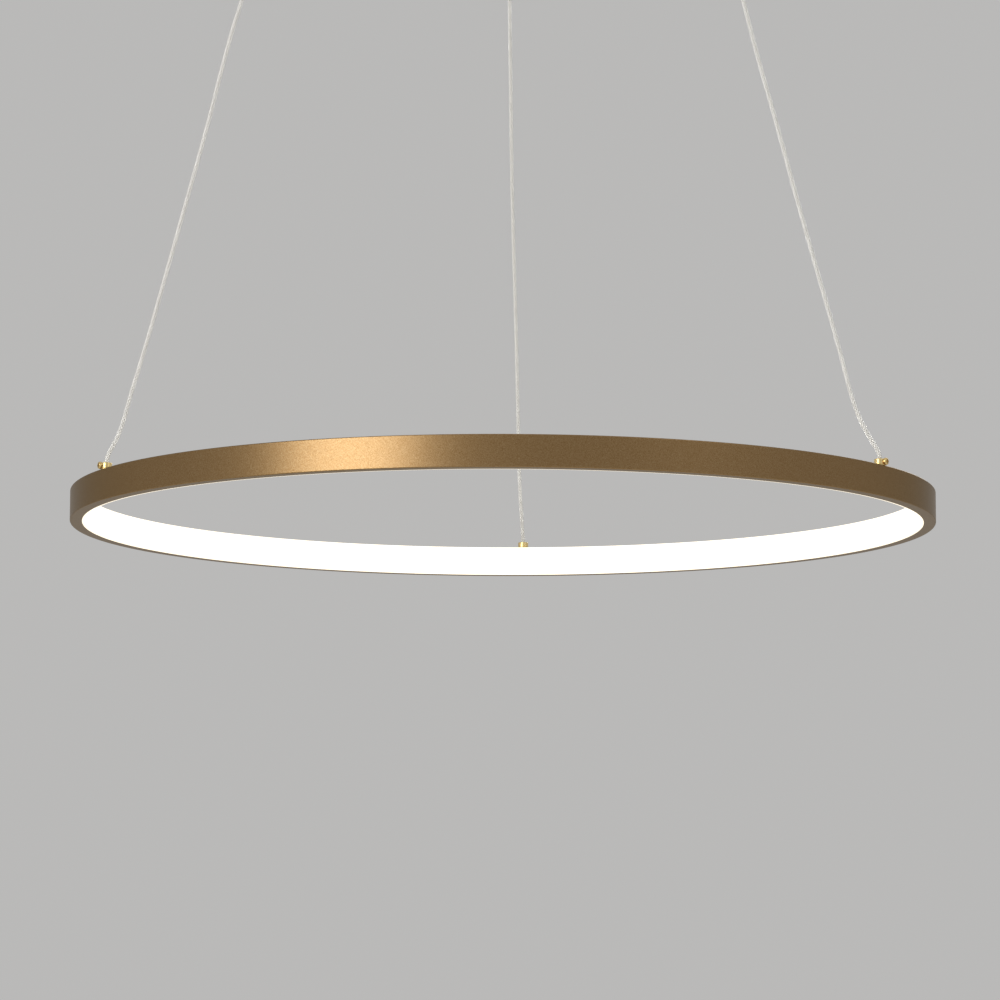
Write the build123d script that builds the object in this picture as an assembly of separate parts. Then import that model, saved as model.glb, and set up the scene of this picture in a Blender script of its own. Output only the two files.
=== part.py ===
from build123d import *
from math import cos, radians, sin, sqrt, tan
import os

# A slim LED ring hung level on three cords from a round ceiling canopy.
# Millimetres, +Z up. The origin is the middle of the bracket's upper face, against the ceiling.
# The three cords stand at equal angles, the first one towards +Y (the rear).

# ---------------------------------------------------------------- driving dimensions
CORD_ANGLES = {"rear": 90.0, "left": 210.0, "right": 330.0}

# Ring: an aluminium channel, open towards the middle
RING_DIAMETER = 600.0
CHANNEL_HEIGHT = 21.0
CHANNEL_WIDTH = 8.4
CHANNEL_WALL = 1.0
CHANNEL_FLANGE = 1.2
CHANNEL_EDGE = 0.5
BEAD_WIDTH = 0.5
BEAD_HEIGHT = 0.3

# Lens: an opal strip that snaps behind the beads and covers the flanges' edges
LENS_CAP = 1.6
LENS_EDGE = 0.6
LENS_NUT_GAP = 0.3
LENS_LEG_THICKNESS = 0.7
LENS_CLEARANCE = 0.1

# Light source
STRIP_WIDTH = 10.0
STRIP_THICKNESS = 0.5
STRIP_GAP = 6.0
STRIP_GAP_ANGLE = 30.0
CHIP_COUNT = 90
CHIP_LENGTH = 3.5
CHIP_WIDTH = 2.8
CHIP_THICKNESS = 0.8
CHIP_SEAT = 0.02

# Cords, and the collars that hold them on the ring
CORD_DIAMETER = 3.0
CORD_SIDES = 8
CORD_CLEARANCE = 0.1
CORD_DROP = 685.0
COLLAR_DIAMETER = 7.6
COLLAR_HEIGHT = 4.4
COLLAR_CHAMFER = 0.4
COLLAR_STEM_WALL = 0.6
COLLAR_STEM_BELOW_NUT = 0.6
COLLAR_NUT_WALL = 0.6
COLLAR_NUT_GAP = 0.2
COLLAR_NUT_HEIGHT = 1.8
HOLE_CLEARANCE = 0.1
THREAD_CLEARANCE = 0.03

# Set screws
SET_SCREW_SHANK = 2.5
SET_SCREW_HEAD = 4.8
SET_SCREW_HEAD_HEIGHT = 1.9
SET_SCREW_SEAT_GAP = 0.1
SCREW_TIP_GAP = 0.03

# Canopy cup
CANOPY_DIAMETER = 240.0
CANOPY_DEPTH = 34.0
CANOPY_WALL = 1.2
CANOPY_CORNER_RADIUS = 6.0
CANOPY_RIM_GAP = 0.5
GRIP_INSET = 20.0

# Cord grips in the canopy's floor
GRIP_DIAMETER = 12.0
GRIP_BODY_LENGTH = 12.0
GRIP_NOSE_DIAMETER = 7.0
GRIP_NOSE_LENGTH = 3.0
GRIP_STEM_DIAMETER = 8.0
GRIP_STEM_ABOVE_NUT = 1.5
GRIP_NUT_FLATS = 12.0
GRIP_NUT_HEIGHT = 4.0
GRIP_SCREW_HEIGHT = 7.0
HEAD_ABOVE_GRIP = 2.0

# Ceiling bracket: a strap with a tab bent down at each end
STRAP_WIDTH = 26.0
STRAP_THICKNESS = 2.0
STRAP_END_GAP = 1.4
STRAP_BEND_RADIUS = 1.0
TAB_HEIGHT = 14.0
SLOT_SPACING = 70.0
SLOT_LENGTH = 20.0
SLOT_WIDTH = 4.5
CABLE_HOLE_DIAMETER = 10.0
SIDE_SCREW_DEPTH = 9.0
SIDE_SCREW_SHANK = 4.0
SIDE_SCREW_LENGTH = 8.0
SIDE_SCREW_HEAD = 7.5
SIDE_SCREW_HEAD_HEIGHT = 2.4

# LED driver on the canopy's floor
DRIVER_LENGTH = 110.0
DRIVER_WIDTH = 34.0
DRIVER_HEIGHT = 20.0
DRIVER_WALL = 1.6
DRIVER_X = 8.0
DRIVER_Y = 43.0
PAD_THICKNESS = 1.0
PAD_INSET = 5.0
BOARD_THICKNESS = 1.6
BOARD_CLEARANCE = 0.3
BOARD_LIFT = 3.0
CLIP_WIDTH = 6.0
CLIP_THICKNESS = 1.0
CLIP_REACH = 6.0
CLIP_HOOK = 0.8
CLIP_HOOK_HEIGHT = 1.6
CLIP_CLEARANCE = 0.1
CLIP_OFFSET = 38.0
PORT_DIAMETER = 2.0
MAINS_PORT_SPACING = 8.0
OUTPUT_PORT_SPACING = 60.0
TRANSFORMER_SIZE = (20.0, 18.0, 11.0)
TRANSFORMER_X = 6.0
CORE_SHARE = 0.55
WINDOW_SHARE = 0.6
CAPACITOR_DIAMETER = 10.0
CAPACITOR_LENGTH = 12.5
CAPACITOR_OFFSETS = ((-32.0, 7.0), (32.0, -5.0))

# Terminal block under the strap
BLOCK_X = -73.0
BLOCK_LENGTH = 30.0
BLOCK_WIDTH = 17.0
BLOCK_HEIGHT = 12.0
POLE_PITCH = 9.5
CLAMP_SIZE = 5.0
CLAMP_BORE = 3.2
CLAMP_LENGTH = 12.0
CLAMP_CLEARANCE = 0.05
CLAMP_SCREW_DIAMETER = 3.0
CLAMP_SCREW_LENGTH = 4.5
BLOCK_SCREW_DIAMETER = 2.5
BLOCK_SCREW_HEAD = 4.0
BLOCK_SCREW_HEAD_HEIGHT = 1.6

# Earth screw in the strap
EARTH_X = -15.0
EARTH_SCREW_DIAMETER = 4.0
EARTH_SCREW_HEAD = 8.0
EARTH_SCREW_HEAD_HEIGHT = 2.6
EARTH_TAG_THICKNESS = 0.8
EARTH_TAG_DIAMETER = 9.0
EARTH_TAG_TURN = 135.0
EARTH_TAG_BARREL = 3.0
EARTH_TAG_BARREL_LENGTH = 4.5
EARTH_TAG_REACH = 8.0

# Leads inside the canopy and inside the channel
LEAD_DIAMETER = 1.6
STRIP_LEAD_DIAMETER = 1.2
LEAD_SIDES = 6
SOLDER_LENGTH = 3.0
SOLDER_HEIGHT = 1.5

# Cord routes from the collar's mouth: inward, across (counter-clockwise) and up.
# A cord bends where it leaves its collar. Above that it hangs straight under the ring's weight.
CORD_ROUTES = {
    "rear": [
        (0.0, 0.0, 5.2), (4.6, 0.2, 15.0), (13.3, 1.0, 32.0), (27.4, 1.9, 75.0),
        (58.8, 3.5, 184.0), (117.4, 4.5, 389.0),
    ],
    "left": [
        (0.0, 0.0, 5.4), (4.4, 0.0, 15.5), (14.0, 0.0, 42.0), (56.0, 0.0, 185.0), (108.5, 0.0, 370.0),
    ],
    "right": [
        (0.0, 0.0, 4.6), (5.2, 0.0, 14.2), (17.2, 0.0, 35.0), (45.0, 0.0, 126.0), (101.8, 0.0, 320.0),
    ],
}
# The last points of every route from the grip's mouth: outward and down
GRIP_APPROACH = [(2.2, 21.0), (0.0, 9.0)]

# ---------------------------------------------------------------- sizes worked out from those
RIM_Z = -CANOPY_RIM_GAP
FLOOR_Z = RIM_Z - CANOPY_DEPTH
GRIP_FACE_Z = FLOOR_Z - GRIP_BODY_LENGTH
COLLAR_TOP_Z = GRIP_FACE_Z - CORD_DROP
RING_TOP_Z = COLLAR_TOP_Z - COLLAR_HEIGHT
RING_MIDDLE_Z = RING_TOP_Z - CHANNEL_HEIGHT / 2
OUTER_RADIUS = RING_DIAMETER / 2
MOUTH_RADIUS = OUTER_RADIUS - CHANNEL_WIDTH
WALL_INNER_RADIUS = OUTER_RADIUS - CHANNEL_WALL
STRIP_FACE_RADIUS = WALL_INNER_RADIUS - STRIP_THICKNESS
CORD_BORE = CORD_DIAMETER + 2 * CORD_CLEARANCE
COLLAR_STEM_DIAMETER = CORD_BORE + 2 * COLLAR_STEM_WALL
COLLAR_NUT_FLATS = COLLAR_STEM_DIAMETER + 2 * COLLAR_NUT_WALL
COLLAR_RADIUS = WALL_INNER_RADIUS - COLLAR_NUT_GAP - COLLAR_NUT_FLATS / 2
LENS_LEG_RADIUS = COLLAR_RADIUS - COLLAR_NUT_FLATS / 2 - LENS_NUT_GAP
COLLAR_STEM_LENGTH = CHANNEL_FLANGE + COLLAR_NUT_HEIGHT + COLLAR_STEM_BELOW_NUT
COLLAR_SCREW_HEIGHT = SET_SCREW_SEAT_GAP + SET_SCREW_HEAD / 2
GRIP_STEM_LENGTH = CANOPY_WALL + GRIP_NUT_HEIGHT + GRIP_STEM_ABOVE_NUT
CANOPY_RADIUS = CANOPY_DIAMETER / 2
GRIP_CIRCLE_RADIUS = CANOPY_RADIUS - GRIP_INSET
CANOPY_FLOOR_TOP_Z = FLOOR_Z + CANOPY_WALL
DRIVER_FOOT_Z = CANOPY_FLOOR_TOP_Z + PAD_THICKNESS
DRIVER_INNER_LENGTH = DRIVER_LENGTH - 2 * DRIVER_WALL
DRIVER_INNER_WIDTH = DRIVER_WIDTH - 2 * DRIVER_WALL
TAB_FACE_X = CANOPY_RADIUS - CANOPY_WALL - STRAP_END_GAP
BLOCK_TOP_Z = -STRAP_THICKNESS
BLOCK_MIDDLE_Z = BLOCK_TOP_Z - BLOCK_HEIGHT / 2


# ---------------------------------------------------------------- small helpers
def save(solids, name):
    """Write one node: a solid, or a list of separate solids."""
    group = Compound(children=list(solids)) if isinstance(solids, list) else solids
    export_step(group, os.path.join("parts", name + ".step"))


def revolved(outline):
    """Solid of revolution about Z from (radius, height) points."""
    return revolve(make_face(Plane.XZ * Polyline(outline, close=True)), Axis.Z)


def rod(diameter, length, bottom=0.0):
    """Upright cylinder on Z that starts at a height."""
    place = Align.CENTER, Align.CENTER, Align.MIN
    return Pos(0, 0, bottom) * Cylinder(diameter / 2, length, align=place)


def hexagon(flats, height, bottom=0.0):
    """Upright hexagonal prism, with two flats square to X."""
    outline = RegularPolygon(flats / sqrt(3), 6, rotation=30)
    return Pos(0, 0, bottom) * extrude(outline, height)


def headed_screw(shank, length, head, head_height):
    """Cheese-head screw on Z: the head's seat is at 0 and the shank goes down."""
    return rod(head, head_height) + rod(shank, length, -length)


def cord_section():
    """Section of a cord, drawn with a few flat sides."""
    return RegularPolygon(CORD_DIAMETER / 2, CORD_SIDES)


def on_ring(angle, radius, height):
    """Place at an angle, a radius and a height, with local X pointing away from the axis."""
    return Rot(0, 0, angle) * Pos(radius, 0, height)


def at(angle, radius, height):
    """The same place, as a point."""
    return (radius * cos(radians(angle)), radius * sin(radians(angle)), height)


def outward(piece, reach):
    """Turn an upright piece to point along local X, with its seat at a distance from the local axis."""
    return Pos(reach, 0, 0) * Rot(0, 90, 0) * piece


def tube_along(points, section, name):
    """Tube on straight runs joined by arcs, each as large as its two runs allow."""
    spots = [Vector(*p) for p in points]
    runs = [after - before for before, after in zip(spots, spots[1:])]
    radii = [
        0.45 * min(a.length, b.length) / tan(radians(a.get_angle(b)) / 2)
        for a, b in zip(runs, runs[1:])
    ]
    path = FilletPolyline(*spots, radius=radii)
    tube = sweep(Plane(origin=path @ 0, z_dir=path % 0) * section, path)
    print(name, "length", round(path.length, 1), "radii", [round(r, 1) for r in radii],
          "volume share", round(tube.volume / (section.area * path.length), 4))
    return tube


def lead_along(points, diameter, name):
    """Thin insulated lead, whose section is drawn with a few flat sides."""
    return tube_along(points, RegularPolygon(diameter / 2, LEAD_SIDES), name)


# ---------------------------------------------------------------- ring
def ring_channel():
    """Rolled channel: wall with eased edges, two flanges with a snap bead each, three stem holes."""
    half = CHANNEL_HEIGHT / 2
    inside = half - CHANNEL_FLANGE
    bead = inside - BEAD_HEIGHT
    bead_end = MOUTH_RADIUS + BEAD_WIDTH
    upper = [
        (WALL_INNER_RADIUS, inside), (bead_end, inside), (bead_end, bead), (MOUTH_RADIUS, bead),
        (MOUTH_RADIUS, half), (OUTER_RADIUS - CHANNEL_EDGE, half), (OUTER_RADIUS, half - CHANNEL_EDGE),
    ]
    lower = [(r, -z) for r, z in reversed(upper)]
    body = Pos(0, 0, RING_MIDDLE_Z) * revolved(upper + lower)
    hole = rod(COLLAR_STEM_DIAMETER + 2 * HOLE_CLEARANCE, 3 * CHANNEL_FLANGE, -2 * CHANNEL_FLANGE)
    for angle in CORD_ANGLES.values():
        body -= on_ring(angle, COLLAR_RADIUS, RING_TOP_Z) * hole
    return body


def ring_lens():
    """Opal strip: a cap over the whole height and two legs whose barbs sit behind the beads."""
    half = CHANNEL_HEIGHT / 2
    barb = half - CHANNEL_FLANGE - LENS_CLEARANCE
    neck = barb - BEAD_HEIGHT
    barb_start = MOUTH_RADIUS + BEAD_WIDTH + LENS_CLEARANCE
    leg_end = LENS_LEG_RADIUS
    leg_low = neck - LENS_LEG_THICKNESS
    face = MOUTH_RADIUS - LENS_CAP
    upper = [
        (MOUTH_RADIUS, leg_low), (leg_end, leg_low), (leg_end, barb), (barb_start, barb),
        (barb_start, neck), (MOUTH_RADIUS, neck), (MOUTH_RADIUS, half), (face + LENS_EDGE, half),
        (face, half - LENS_EDGE),
    ]
    lower = [(r, -z) for r, z in reversed(upper)]
    return Pos(0, 0, RING_MIDDLE_Z) * revolved(upper + lower)


def led_strip():
    """Flexible board round the inner side of the outer wall, with a gap between its ends."""
    band = revolved([
        (STRIP_FACE_RADIUS, -STRIP_WIDTH / 2), (WALL_INNER_RADIUS, -STRIP_WIDTH / 2),
        (WALL_INNER_RADIUS, STRIP_WIDTH / 2), (STRIP_FACE_RADIUS, STRIP_WIDTH / 2),
    ])
    cut = Box(4 * STRIP_GAP, STRIP_GAP, 2 * STRIP_WIDTH)
    band -= on_ring(STRIP_GAP_ANGLE, WALL_INNER_RADIUS, 0) * cut
    return Pos(0, 0, RING_MIDDLE_Z) * band


def led_chips():
    """Chips at an even pitch on the strip, starting half a pitch from its gap."""
    pitch = 360 / CHIP_COUNT
    back = sqrt(STRIP_FACE_RADIUS**2 - (CHIP_LENGTH / 2) ** 2) - CHIP_SEAT
    chip = Box(CHIP_THICKNESS, CHIP_LENGTH, CHIP_WIDTH, align=(Align.MAX, Align.CENTER, Align.CENTER))
    angles = [STRIP_GAP_ANGLE + pitch * (k + 0.5) for k in range(CHIP_COUNT)]
    return [on_ring(angle, back, RING_MIDDLE_Z) * chip for angle in angles]


def collar():
    """Brass collar at its own origin: the seat on the flange is at 0, the stem goes down."""
    body = rod(COLLAR_DIAMETER, COLLAR_HEIGHT)
    body = chamfer(body.edges().group_by(Axis.Z)[-1], COLLAR_CHAMFER)
    body += rod(COLLAR_STEM_DIAMETER, COLLAR_STEM_LENGTH, -COLLAR_STEM_LENGTH)
    body -= rod(CORD_BORE, COLLAR_HEIGHT + COLLAR_STEM_LENGTH, -COLLAR_STEM_LENGTH)
    tapping = Rot(0, 90, 0) * rod(SET_SCREW_SHANK + 2 * THREAD_CLEARANCE, COLLAR_DIAMETER)
    return body - Pos(0, 0, COLLAR_SCREW_HEIGHT) * tapping


def nut(flats, height, thread):
    """Hexagon nut that stands on 0, round a thread."""
    return hexagon(flats, height) - rod(thread + 2 * THREAD_CLEARANCE, height)


def cord_screw(seat_radius):
    """Screw whose tip meets the cord and whose head stands on a seat round it."""
    length = seat_radius - CORD_DIAMETER / 2 - SCREW_TIP_GAP
    return outward(
        headed_screw(SET_SCREW_SHANK, length, SET_SCREW_HEAD, SET_SCREW_HEAD_HEIGHT), seat_radius
    )


def cord_grub():
    """Headless screw whose tip meets the cord and whose end is flush with the grip."""
    tip = CORD_DIAMETER / 2 + SCREW_TIP_GAP
    return outward(rod(SET_SCREW_SHANK, GRIP_DIAMETER / 2 - tip), tip)


def cord_tail():
    """End of a cord: from the collar's upper face to the stem's end."""
    return Pos(0, 0, -COLLAR_STEM_LENGTH) * extrude(cord_section(), COLLAR_HEIGHT + COLLAR_STEM_LENGTH)


def strip_lead(angle):
    """Route of the lead from a cord's end, down and along the channel to the strip."""
    pad_z = RING_MIDDLE_Z - STRIP_WIDTH / 2 + STRIP_LEAD_DIAMETER
    pad_radius = STRIP_FACE_RADIUS - STRIP_LEAD_DIAMETER / 2 - CHIP_SEAT
    tail_end = RING_TOP_Z - COLLAR_STEM_LENGTH
    return [
        at(angle, COLLAR_RADIUS, tail_end), at(angle, COLLAR_RADIUS, tail_end - 6),
        at(angle + 1.4, COLLAR_RADIUS + 0.2, pad_z), at(angle + 4.0, pad_radius, pad_z),
    ]


def solder_joint(route):
    """Bead of solder on the strip where a lead's end meets it."""
    end = Vector(*route[-1])
    along = end - Vector(*route[-2])
    bead = Cylinder(SOLDER_HEIGHT / 2, SOLDER_LENGTH, align=(Align.CENTER, Align.CENTER, Align.MIN))
    joint = Plane(origin=end, z_dir=along) * bead
    keep = revolved([
        (STRIP_FACE_RADIUS - 2 * SOLDER_HEIGHT, -STRIP_WIDTH), (STRIP_FACE_RADIUS, -STRIP_WIDTH),
        (STRIP_FACE_RADIUS, STRIP_WIDTH), (STRIP_FACE_RADIUS - 2 * SOLDER_HEIGHT, STRIP_WIDTH),
    ])
    return joint & Pos(0, 0, RING_MIDDLE_Z) * keep


# ---------------------------------------------------------------- cords
def cord(side):
    """Free stretch of one cord, from the collar's upper face to the grip's lower face."""
    angle = CORD_ANGLES[side]
    out = Vector(*at(angle, 1, 0))
    across = Vector(*at(angle + 90, 1, 0))
    foot = Vector(*at(angle, COLLAR_RADIUS, COLLAR_TOP_Z))
    route = [foot]
    for inward, sideways, rise in CORD_ROUTES[side]:
        route.append(foot - out * inward + across * sideways + Vector(0, 0, rise))
    mouth = Vector(*at(angle, GRIP_CIRCLE_RADIUS, GRIP_FACE_Z))
    route += [mouth + out * outward - Vector(0, 0, down) for outward, down in GRIP_APPROACH]
    route.append(mouth)
    return tube_along(route, cord_section(), "cord_" + side)


# ---------------------------------------------------------------- canopy
def drawn_form(radius, floor, corner):
    """Round form of the cup's depth, with a rounded lower corner."""
    form = rod(2 * radius, RIM_Z - floor, floor)
    return fillet(form.edges().group_by(Axis.Z)[0], corner)


def canopy_cup():
    """Drawn cup, open at the top, with three grip holes and two side screw holes."""
    cup = drawn_form(CANOPY_RADIUS, FLOOR_Z, CANOPY_CORNER_RADIUS)
    cup -= drawn_form(
        CANOPY_RADIUS - CANOPY_WALL, CANOPY_FLOOR_TOP_Z, CANOPY_CORNER_RADIUS - CANOPY_WALL
    )
    hole = rod(GRIP_STEM_DIAMETER + 2 * HOLE_CLEARANCE, 4 * CANOPY_WALL, -CANOPY_WALL)
    for angle in CORD_ANGLES.values():
        cup -= on_ring(angle, GRIP_CIRCLE_RADIUS, FLOOR_Z) * hole
    through = Rot(0, 90, 0) * Cylinder(
        SIDE_SCREW_SHANK / 2 + HOLE_CLEARANCE, CANOPY_DIAMETER + 2 * CANOPY_WALL
    )
    return cup - Pos(0, 0, -SIDE_SCREW_DEPTH) * through


def ceiling_bracket():
    """Strap bent down at both ends, with two slots, a cable hole and the fixing holes."""
    inner_x = TAB_FACE_X - STRAP_THICKNESS
    outside = FilletPolyline(
        (-TAB_FACE_X, -TAB_HEIGHT), (-TAB_FACE_X, 0), (TAB_FACE_X, 0), (TAB_FACE_X, -TAB_HEIGHT),
        radius=STRAP_BEND_RADIUS + STRAP_THICKNESS,
    )
    inside = FilletPolyline(
        (inner_x, -TAB_HEIGHT), (inner_x, -STRAP_THICKNESS), (-inner_x, -STRAP_THICKNESS),
        (-inner_x, -TAB_HEIGHT), radius=STRAP_BEND_RADIUS,
    )
    outline = outside + Line(outside @ 1, inside @ 0) + inside + Line(inside @ 1, outside @ 0)
    strap = extrude(make_face(Plane.XZ * outline), STRAP_WIDTH / 2, both=True)
    depth = 4 * STRAP_THICKNESS
    for x in (-SLOT_SPACING / 2, SLOT_SPACING / 2):
        strap -= Pos(x, 0, 0) * extrude(SlotOverall(SLOT_LENGTH, SLOT_WIDTH), depth / 2, both=True)
    strap -= Cylinder(CABLE_HOLE_DIAMETER / 2, depth)
    strap -= Pos(EARTH_X, 0, 0) * Cylinder(EARTH_SCREW_DIAMETER / 2 + THREAD_CLEARANCE, depth)
    strap -= Pos(BLOCK_X + POLE_PITCH / 2, 0, 0) * Cylinder(
        BLOCK_SCREW_DIAMETER / 2 + THREAD_CLEARANCE, depth
    )
    across = Rot(0, 90, 0) * Cylinder(SIDE_SCREW_SHANK / 2 + THREAD_CLEARANCE, CANOPY_DIAMETER)
    return strap - Pos(0, 0, -SIDE_SCREW_DEPTH) * across


def canopy_screws():
    """Two screws through the cup's side into the bracket's tabs."""
    screw = headed_screw(SIDE_SCREW_SHANK, SIDE_SCREW_LENGTH, SIDE_SCREW_HEAD, SIDE_SCREW_HEAD_HEIGHT)
    placed = Pos(0, 0, -SIDE_SCREW_DEPTH) * outward(screw, CANOPY_RADIUS)
    return [Rot(0, 0, turn) * placed for turn in (0, 180)]


def cord_grip():
    """Grip at its own origin: the shoulder under the floor is at 0, the stem goes up."""
    nose = GRIP_NOSE_DIAMETER / 2
    body = revolved([
        (0, -GRIP_BODY_LENGTH), (nose, -GRIP_BODY_LENGTH),
        (GRIP_DIAMETER / 2, GRIP_NOSE_LENGTH - GRIP_BODY_LENGTH),
        (GRIP_DIAMETER / 2, 0), (GRIP_STEM_DIAMETER / 2, 0),
        (GRIP_STEM_DIAMETER / 2, GRIP_STEM_LENGTH), (0, GRIP_STEM_LENGTH),
    ])
    body -= rod(CORD_BORE, GRIP_BODY_LENGTH + GRIP_STEM_LENGTH, -GRIP_BODY_LENGTH)
    tapping = Rot(0, 90, 0) * rod(SET_SCREW_SHANK + 2 * THREAD_CLEARANCE, GRIP_DIAMETER)
    return body - Pos(0, 0, GRIP_SCREW_HEIGHT - GRIP_BODY_LENGTH) * tapping


def cord_head():
    """Upper end of a cord, through the grip and a little above it."""
    length = GRIP_BODY_LENGTH + GRIP_STEM_LENGTH + HEAD_ABOVE_GRIP
    return Pos(0, 0, -GRIP_BODY_LENGTH) * extrude(cord_section(), length)


# ---------------------------------------------------------------- driver
def driver_place(x, y, z):
    """Place in the driver's case, from the middle of its foot."""
    return Pos(DRIVER_X + x, DRIVER_Y + y, DRIVER_FOOT_Z + z)


def upright_box(length, width, height):
    """Box that stands on 0."""
    return Box(length, width, height, align=(Align.CENTER, Align.CENTER, Align.MIN))


def mains_ports():
    """Middles of the two lead ports in the case's end wall, from the middle of its foot."""
    x = (DRIVER_WALL - DRIVER_LENGTH) / 2
    return [(x, side * MAINS_PORT_SPACING / 2, DRIVER_HEIGHT / 2) for side in (1, -1)]


def output_ports():
    """Middles of the two lead ports in the case's front wall: left, then right."""
    y = (DRIVER_WALL - DRIVER_WIDTH) / 2
    return [(side * OUTPUT_PORT_SPACING / 2, y, DRIVER_HEIGHT / 2) for side in (-1, 1)]


def port_place(port):
    """A port's middle in the lamp's own frame."""
    return (DRIVER_X + port[0], DRIVER_Y + port[1], DRIVER_FOOT_Z + port[2])


def clip_places():
    """Turned places of the lid's four clips, at the inside of the case's long walls."""
    return [
        Rot(0, 0, turn) * Pos(x, DRIVER_INNER_WIDTH / 2, 0)
        for turn in (0, 180)
        for x in (-CLIP_OFFSET, CLIP_OFFSET)
    ]


def driver_case():
    """Open tray with a ledge along each side for the board, lead ports and four clip windows."""
    height = DRIVER_HEIGHT - DRIVER_WALL
    shell = upright_box(DRIVER_LENGTH, DRIVER_WIDTH, height)
    shell = fillet(shell.edges().filter_by(Axis.Z), DRIVER_WALL)
    shell -= Pos(0, 0, DRIVER_WALL) * upright_box(DRIVER_INNER_LENGTH, DRIVER_INNER_WIDTH, height)
    for side in (-1, 1):
        rib = Pos(0, side * (DRIVER_INNER_WIDTH - DRIVER_WALL) / 2, DRIVER_WALL)
        shell += rib * upright_box(DRIVER_INNER_LENGTH, DRIVER_WALL, BOARD_LIFT - DRIVER_WALL)
    for x, y, z in mains_ports():
        shell -= Pos(x, y, z) * Rot(0, 90, 0) * Cylinder(PORT_DIAMETER / 2, 2 * DRIVER_WALL)
    for x, y, z in output_ports():
        shell -= Pos(x, y, z) * Rot(90, 0, 0) * Cylinder(PORT_DIAMETER / 2, 2 * DRIVER_WALL)
    window = Box(
        CLIP_WIDTH + 2 * CLIP_CLEARANCE, 2 * DRIVER_WALL, CLIP_HOOK_HEIGHT + 2 * CLIP_CLEARANCE
    )
    window = Pos(0, 0, height - CLIP_REACH + CLIP_HOOK_HEIGHT / 2) * window
    for place in clip_places():
        shell -= place * window
    return driver_place(0, 0, 0) * shell


def driver_lid():
    """Flat lid with four spring clips, whose hooks sit in the case's windows."""
    lid = upright_box(DRIVER_LENGTH, DRIVER_WIDTH, DRIVER_WALL)
    lid = fillet(lid.edges().filter_by(Axis.Z), DRIVER_WALL)
    outline = Polyline(
        (-CLIP_CLEARANCE - CLIP_THICKNESS, 0), (-CLIP_CLEARANCE - CLIP_THICKNESS, -CLIP_REACH),
        (-CLIP_CLEARANCE, -CLIP_REACH), (CLIP_HOOK, CLIP_HOOK_HEIGHT - CLIP_REACH),
        (-CLIP_CLEARANCE, CLIP_HOOK_HEIGHT - CLIP_REACH), (-CLIP_CLEARANCE, 0), close=True,
    )
    clip = extrude(make_face(Plane.YZ * outline), CLIP_WIDTH / 2, both=True)
    for place in clip_places():
        lid += place * clip
    return driver_place(0, 0, DRIVER_HEIGHT - DRIVER_WALL) * lid


def driver_board():
    """Circuit board on the ledges."""
    board = upright_box(
        DRIVER_INNER_LENGTH - 2 * BOARD_CLEARANCE, DRIVER_INNER_WIDTH - 2 * BOARD_CLEARANCE,
        BOARD_THICKNESS,
    )
    return driver_place(0, 0, BOARD_LIFT) * board


def driver_transformer():
    """Transformer on the board: a ferrite frame round a wound coil."""
    length, width, height = TRANSFORMER_SIZE
    core = upright_box(length, width * CORE_SHARE, height)
    window = Pos(0, 0, height * (1 - WINDOW_SHARE) / 2)
    core -= window * upright_box(length * WINDOW_SHARE, width, height * WINDOW_SHARE)
    coil = window * upright_box(length * WINDOW_SHARE, width, height * WINDOW_SHARE)
    coil = fillet(coil.edges().filter_by(Axis.X), height * WINDOW_SHARE / 4)
    return driver_place(TRANSFORMER_X, 0, BOARD_LIFT + BOARD_THICKNESS) * (core + coil)


def driver_capacitors():
    """Two can capacitors that lie on the board."""
    can = Rot(0, 90, 0) * Cylinder(CAPACITOR_DIAMETER / 2, CAPACITOR_LENGTH)
    can = chamfer(can.edges().group_by(Axis.X)[-1], 0.6)
    height = BOARD_LIFT + BOARD_THICKNESS + CAPACITOR_DIAMETER / 2
    return [driver_place(x, y, height) * can for x, y in CAPACITOR_OFFSETS]


def driver_pad():
    """Foam pad that holds the driver on the canopy's floor."""
    pad = upright_box(DRIVER_LENGTH - 2 * PAD_INSET, DRIVER_WIDTH - 2 * PAD_INSET, PAD_THICKNESS)
    return driver_place(0, 0, -PAD_THICKNESS) * pad


# ---------------------------------------------------------------- mains connection
def pole_offsets():
    """Middles of the block's three poles along X."""
    return [-POLE_PITCH, 0.0, POLE_PITCH]


def pole_place(pole):
    """Middle of a pole's clamp."""
    return Pos(BLOCK_X + pole_offsets()[pole], 0, BLOCK_MIDDLE_Z)


def terminal_block():
    """Housing with a cell right through it for each pole's clamp and a well for its screw."""
    block = Pos(BLOCK_X, 0, BLOCK_MIDDLE_Z) * Box(BLOCK_LENGTH, BLOCK_WIDTH, BLOCK_HEIGHT)
    cell_size = CLAMP_SIZE + 2 * CLAMP_CLEARANCE
    cell = Box(cell_size, BLOCK_WIDTH, cell_size)
    well = rod(CLAMP_SCREW_DIAMETER + 2 * HOLE_CLEARANCE, BLOCK_HEIGHT / 2, -BLOCK_HEIGHT / 2)
    for pole in range(3):
        block -= pole_place(pole) * (cell + well)
    hole = Cylinder(BLOCK_SCREW_DIAMETER / 2 + HOLE_CLEARANCE, BLOCK_HEIGHT)
    return block - Pos(BLOCK_X + POLE_PITCH / 2, 0, BLOCK_MIDDLE_Z) * hole


def terminal_clamps():
    """Square brass clamps that join the wires of each pole, tapped from below for a screw."""
    clamp = Box(CLAMP_SIZE, CLAMP_LENGTH, CLAMP_SIZE) - Box(CLAMP_BORE, CLAMP_LENGTH, CLAMP_BORE)
    clamp -= rod(CLAMP_SCREW_DIAMETER + 2 * THREAD_CLEARANCE, CLAMP_SIZE, -CLAMP_SIZE)
    return [pole_place(pole) * clamp for pole in range(3)]


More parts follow.
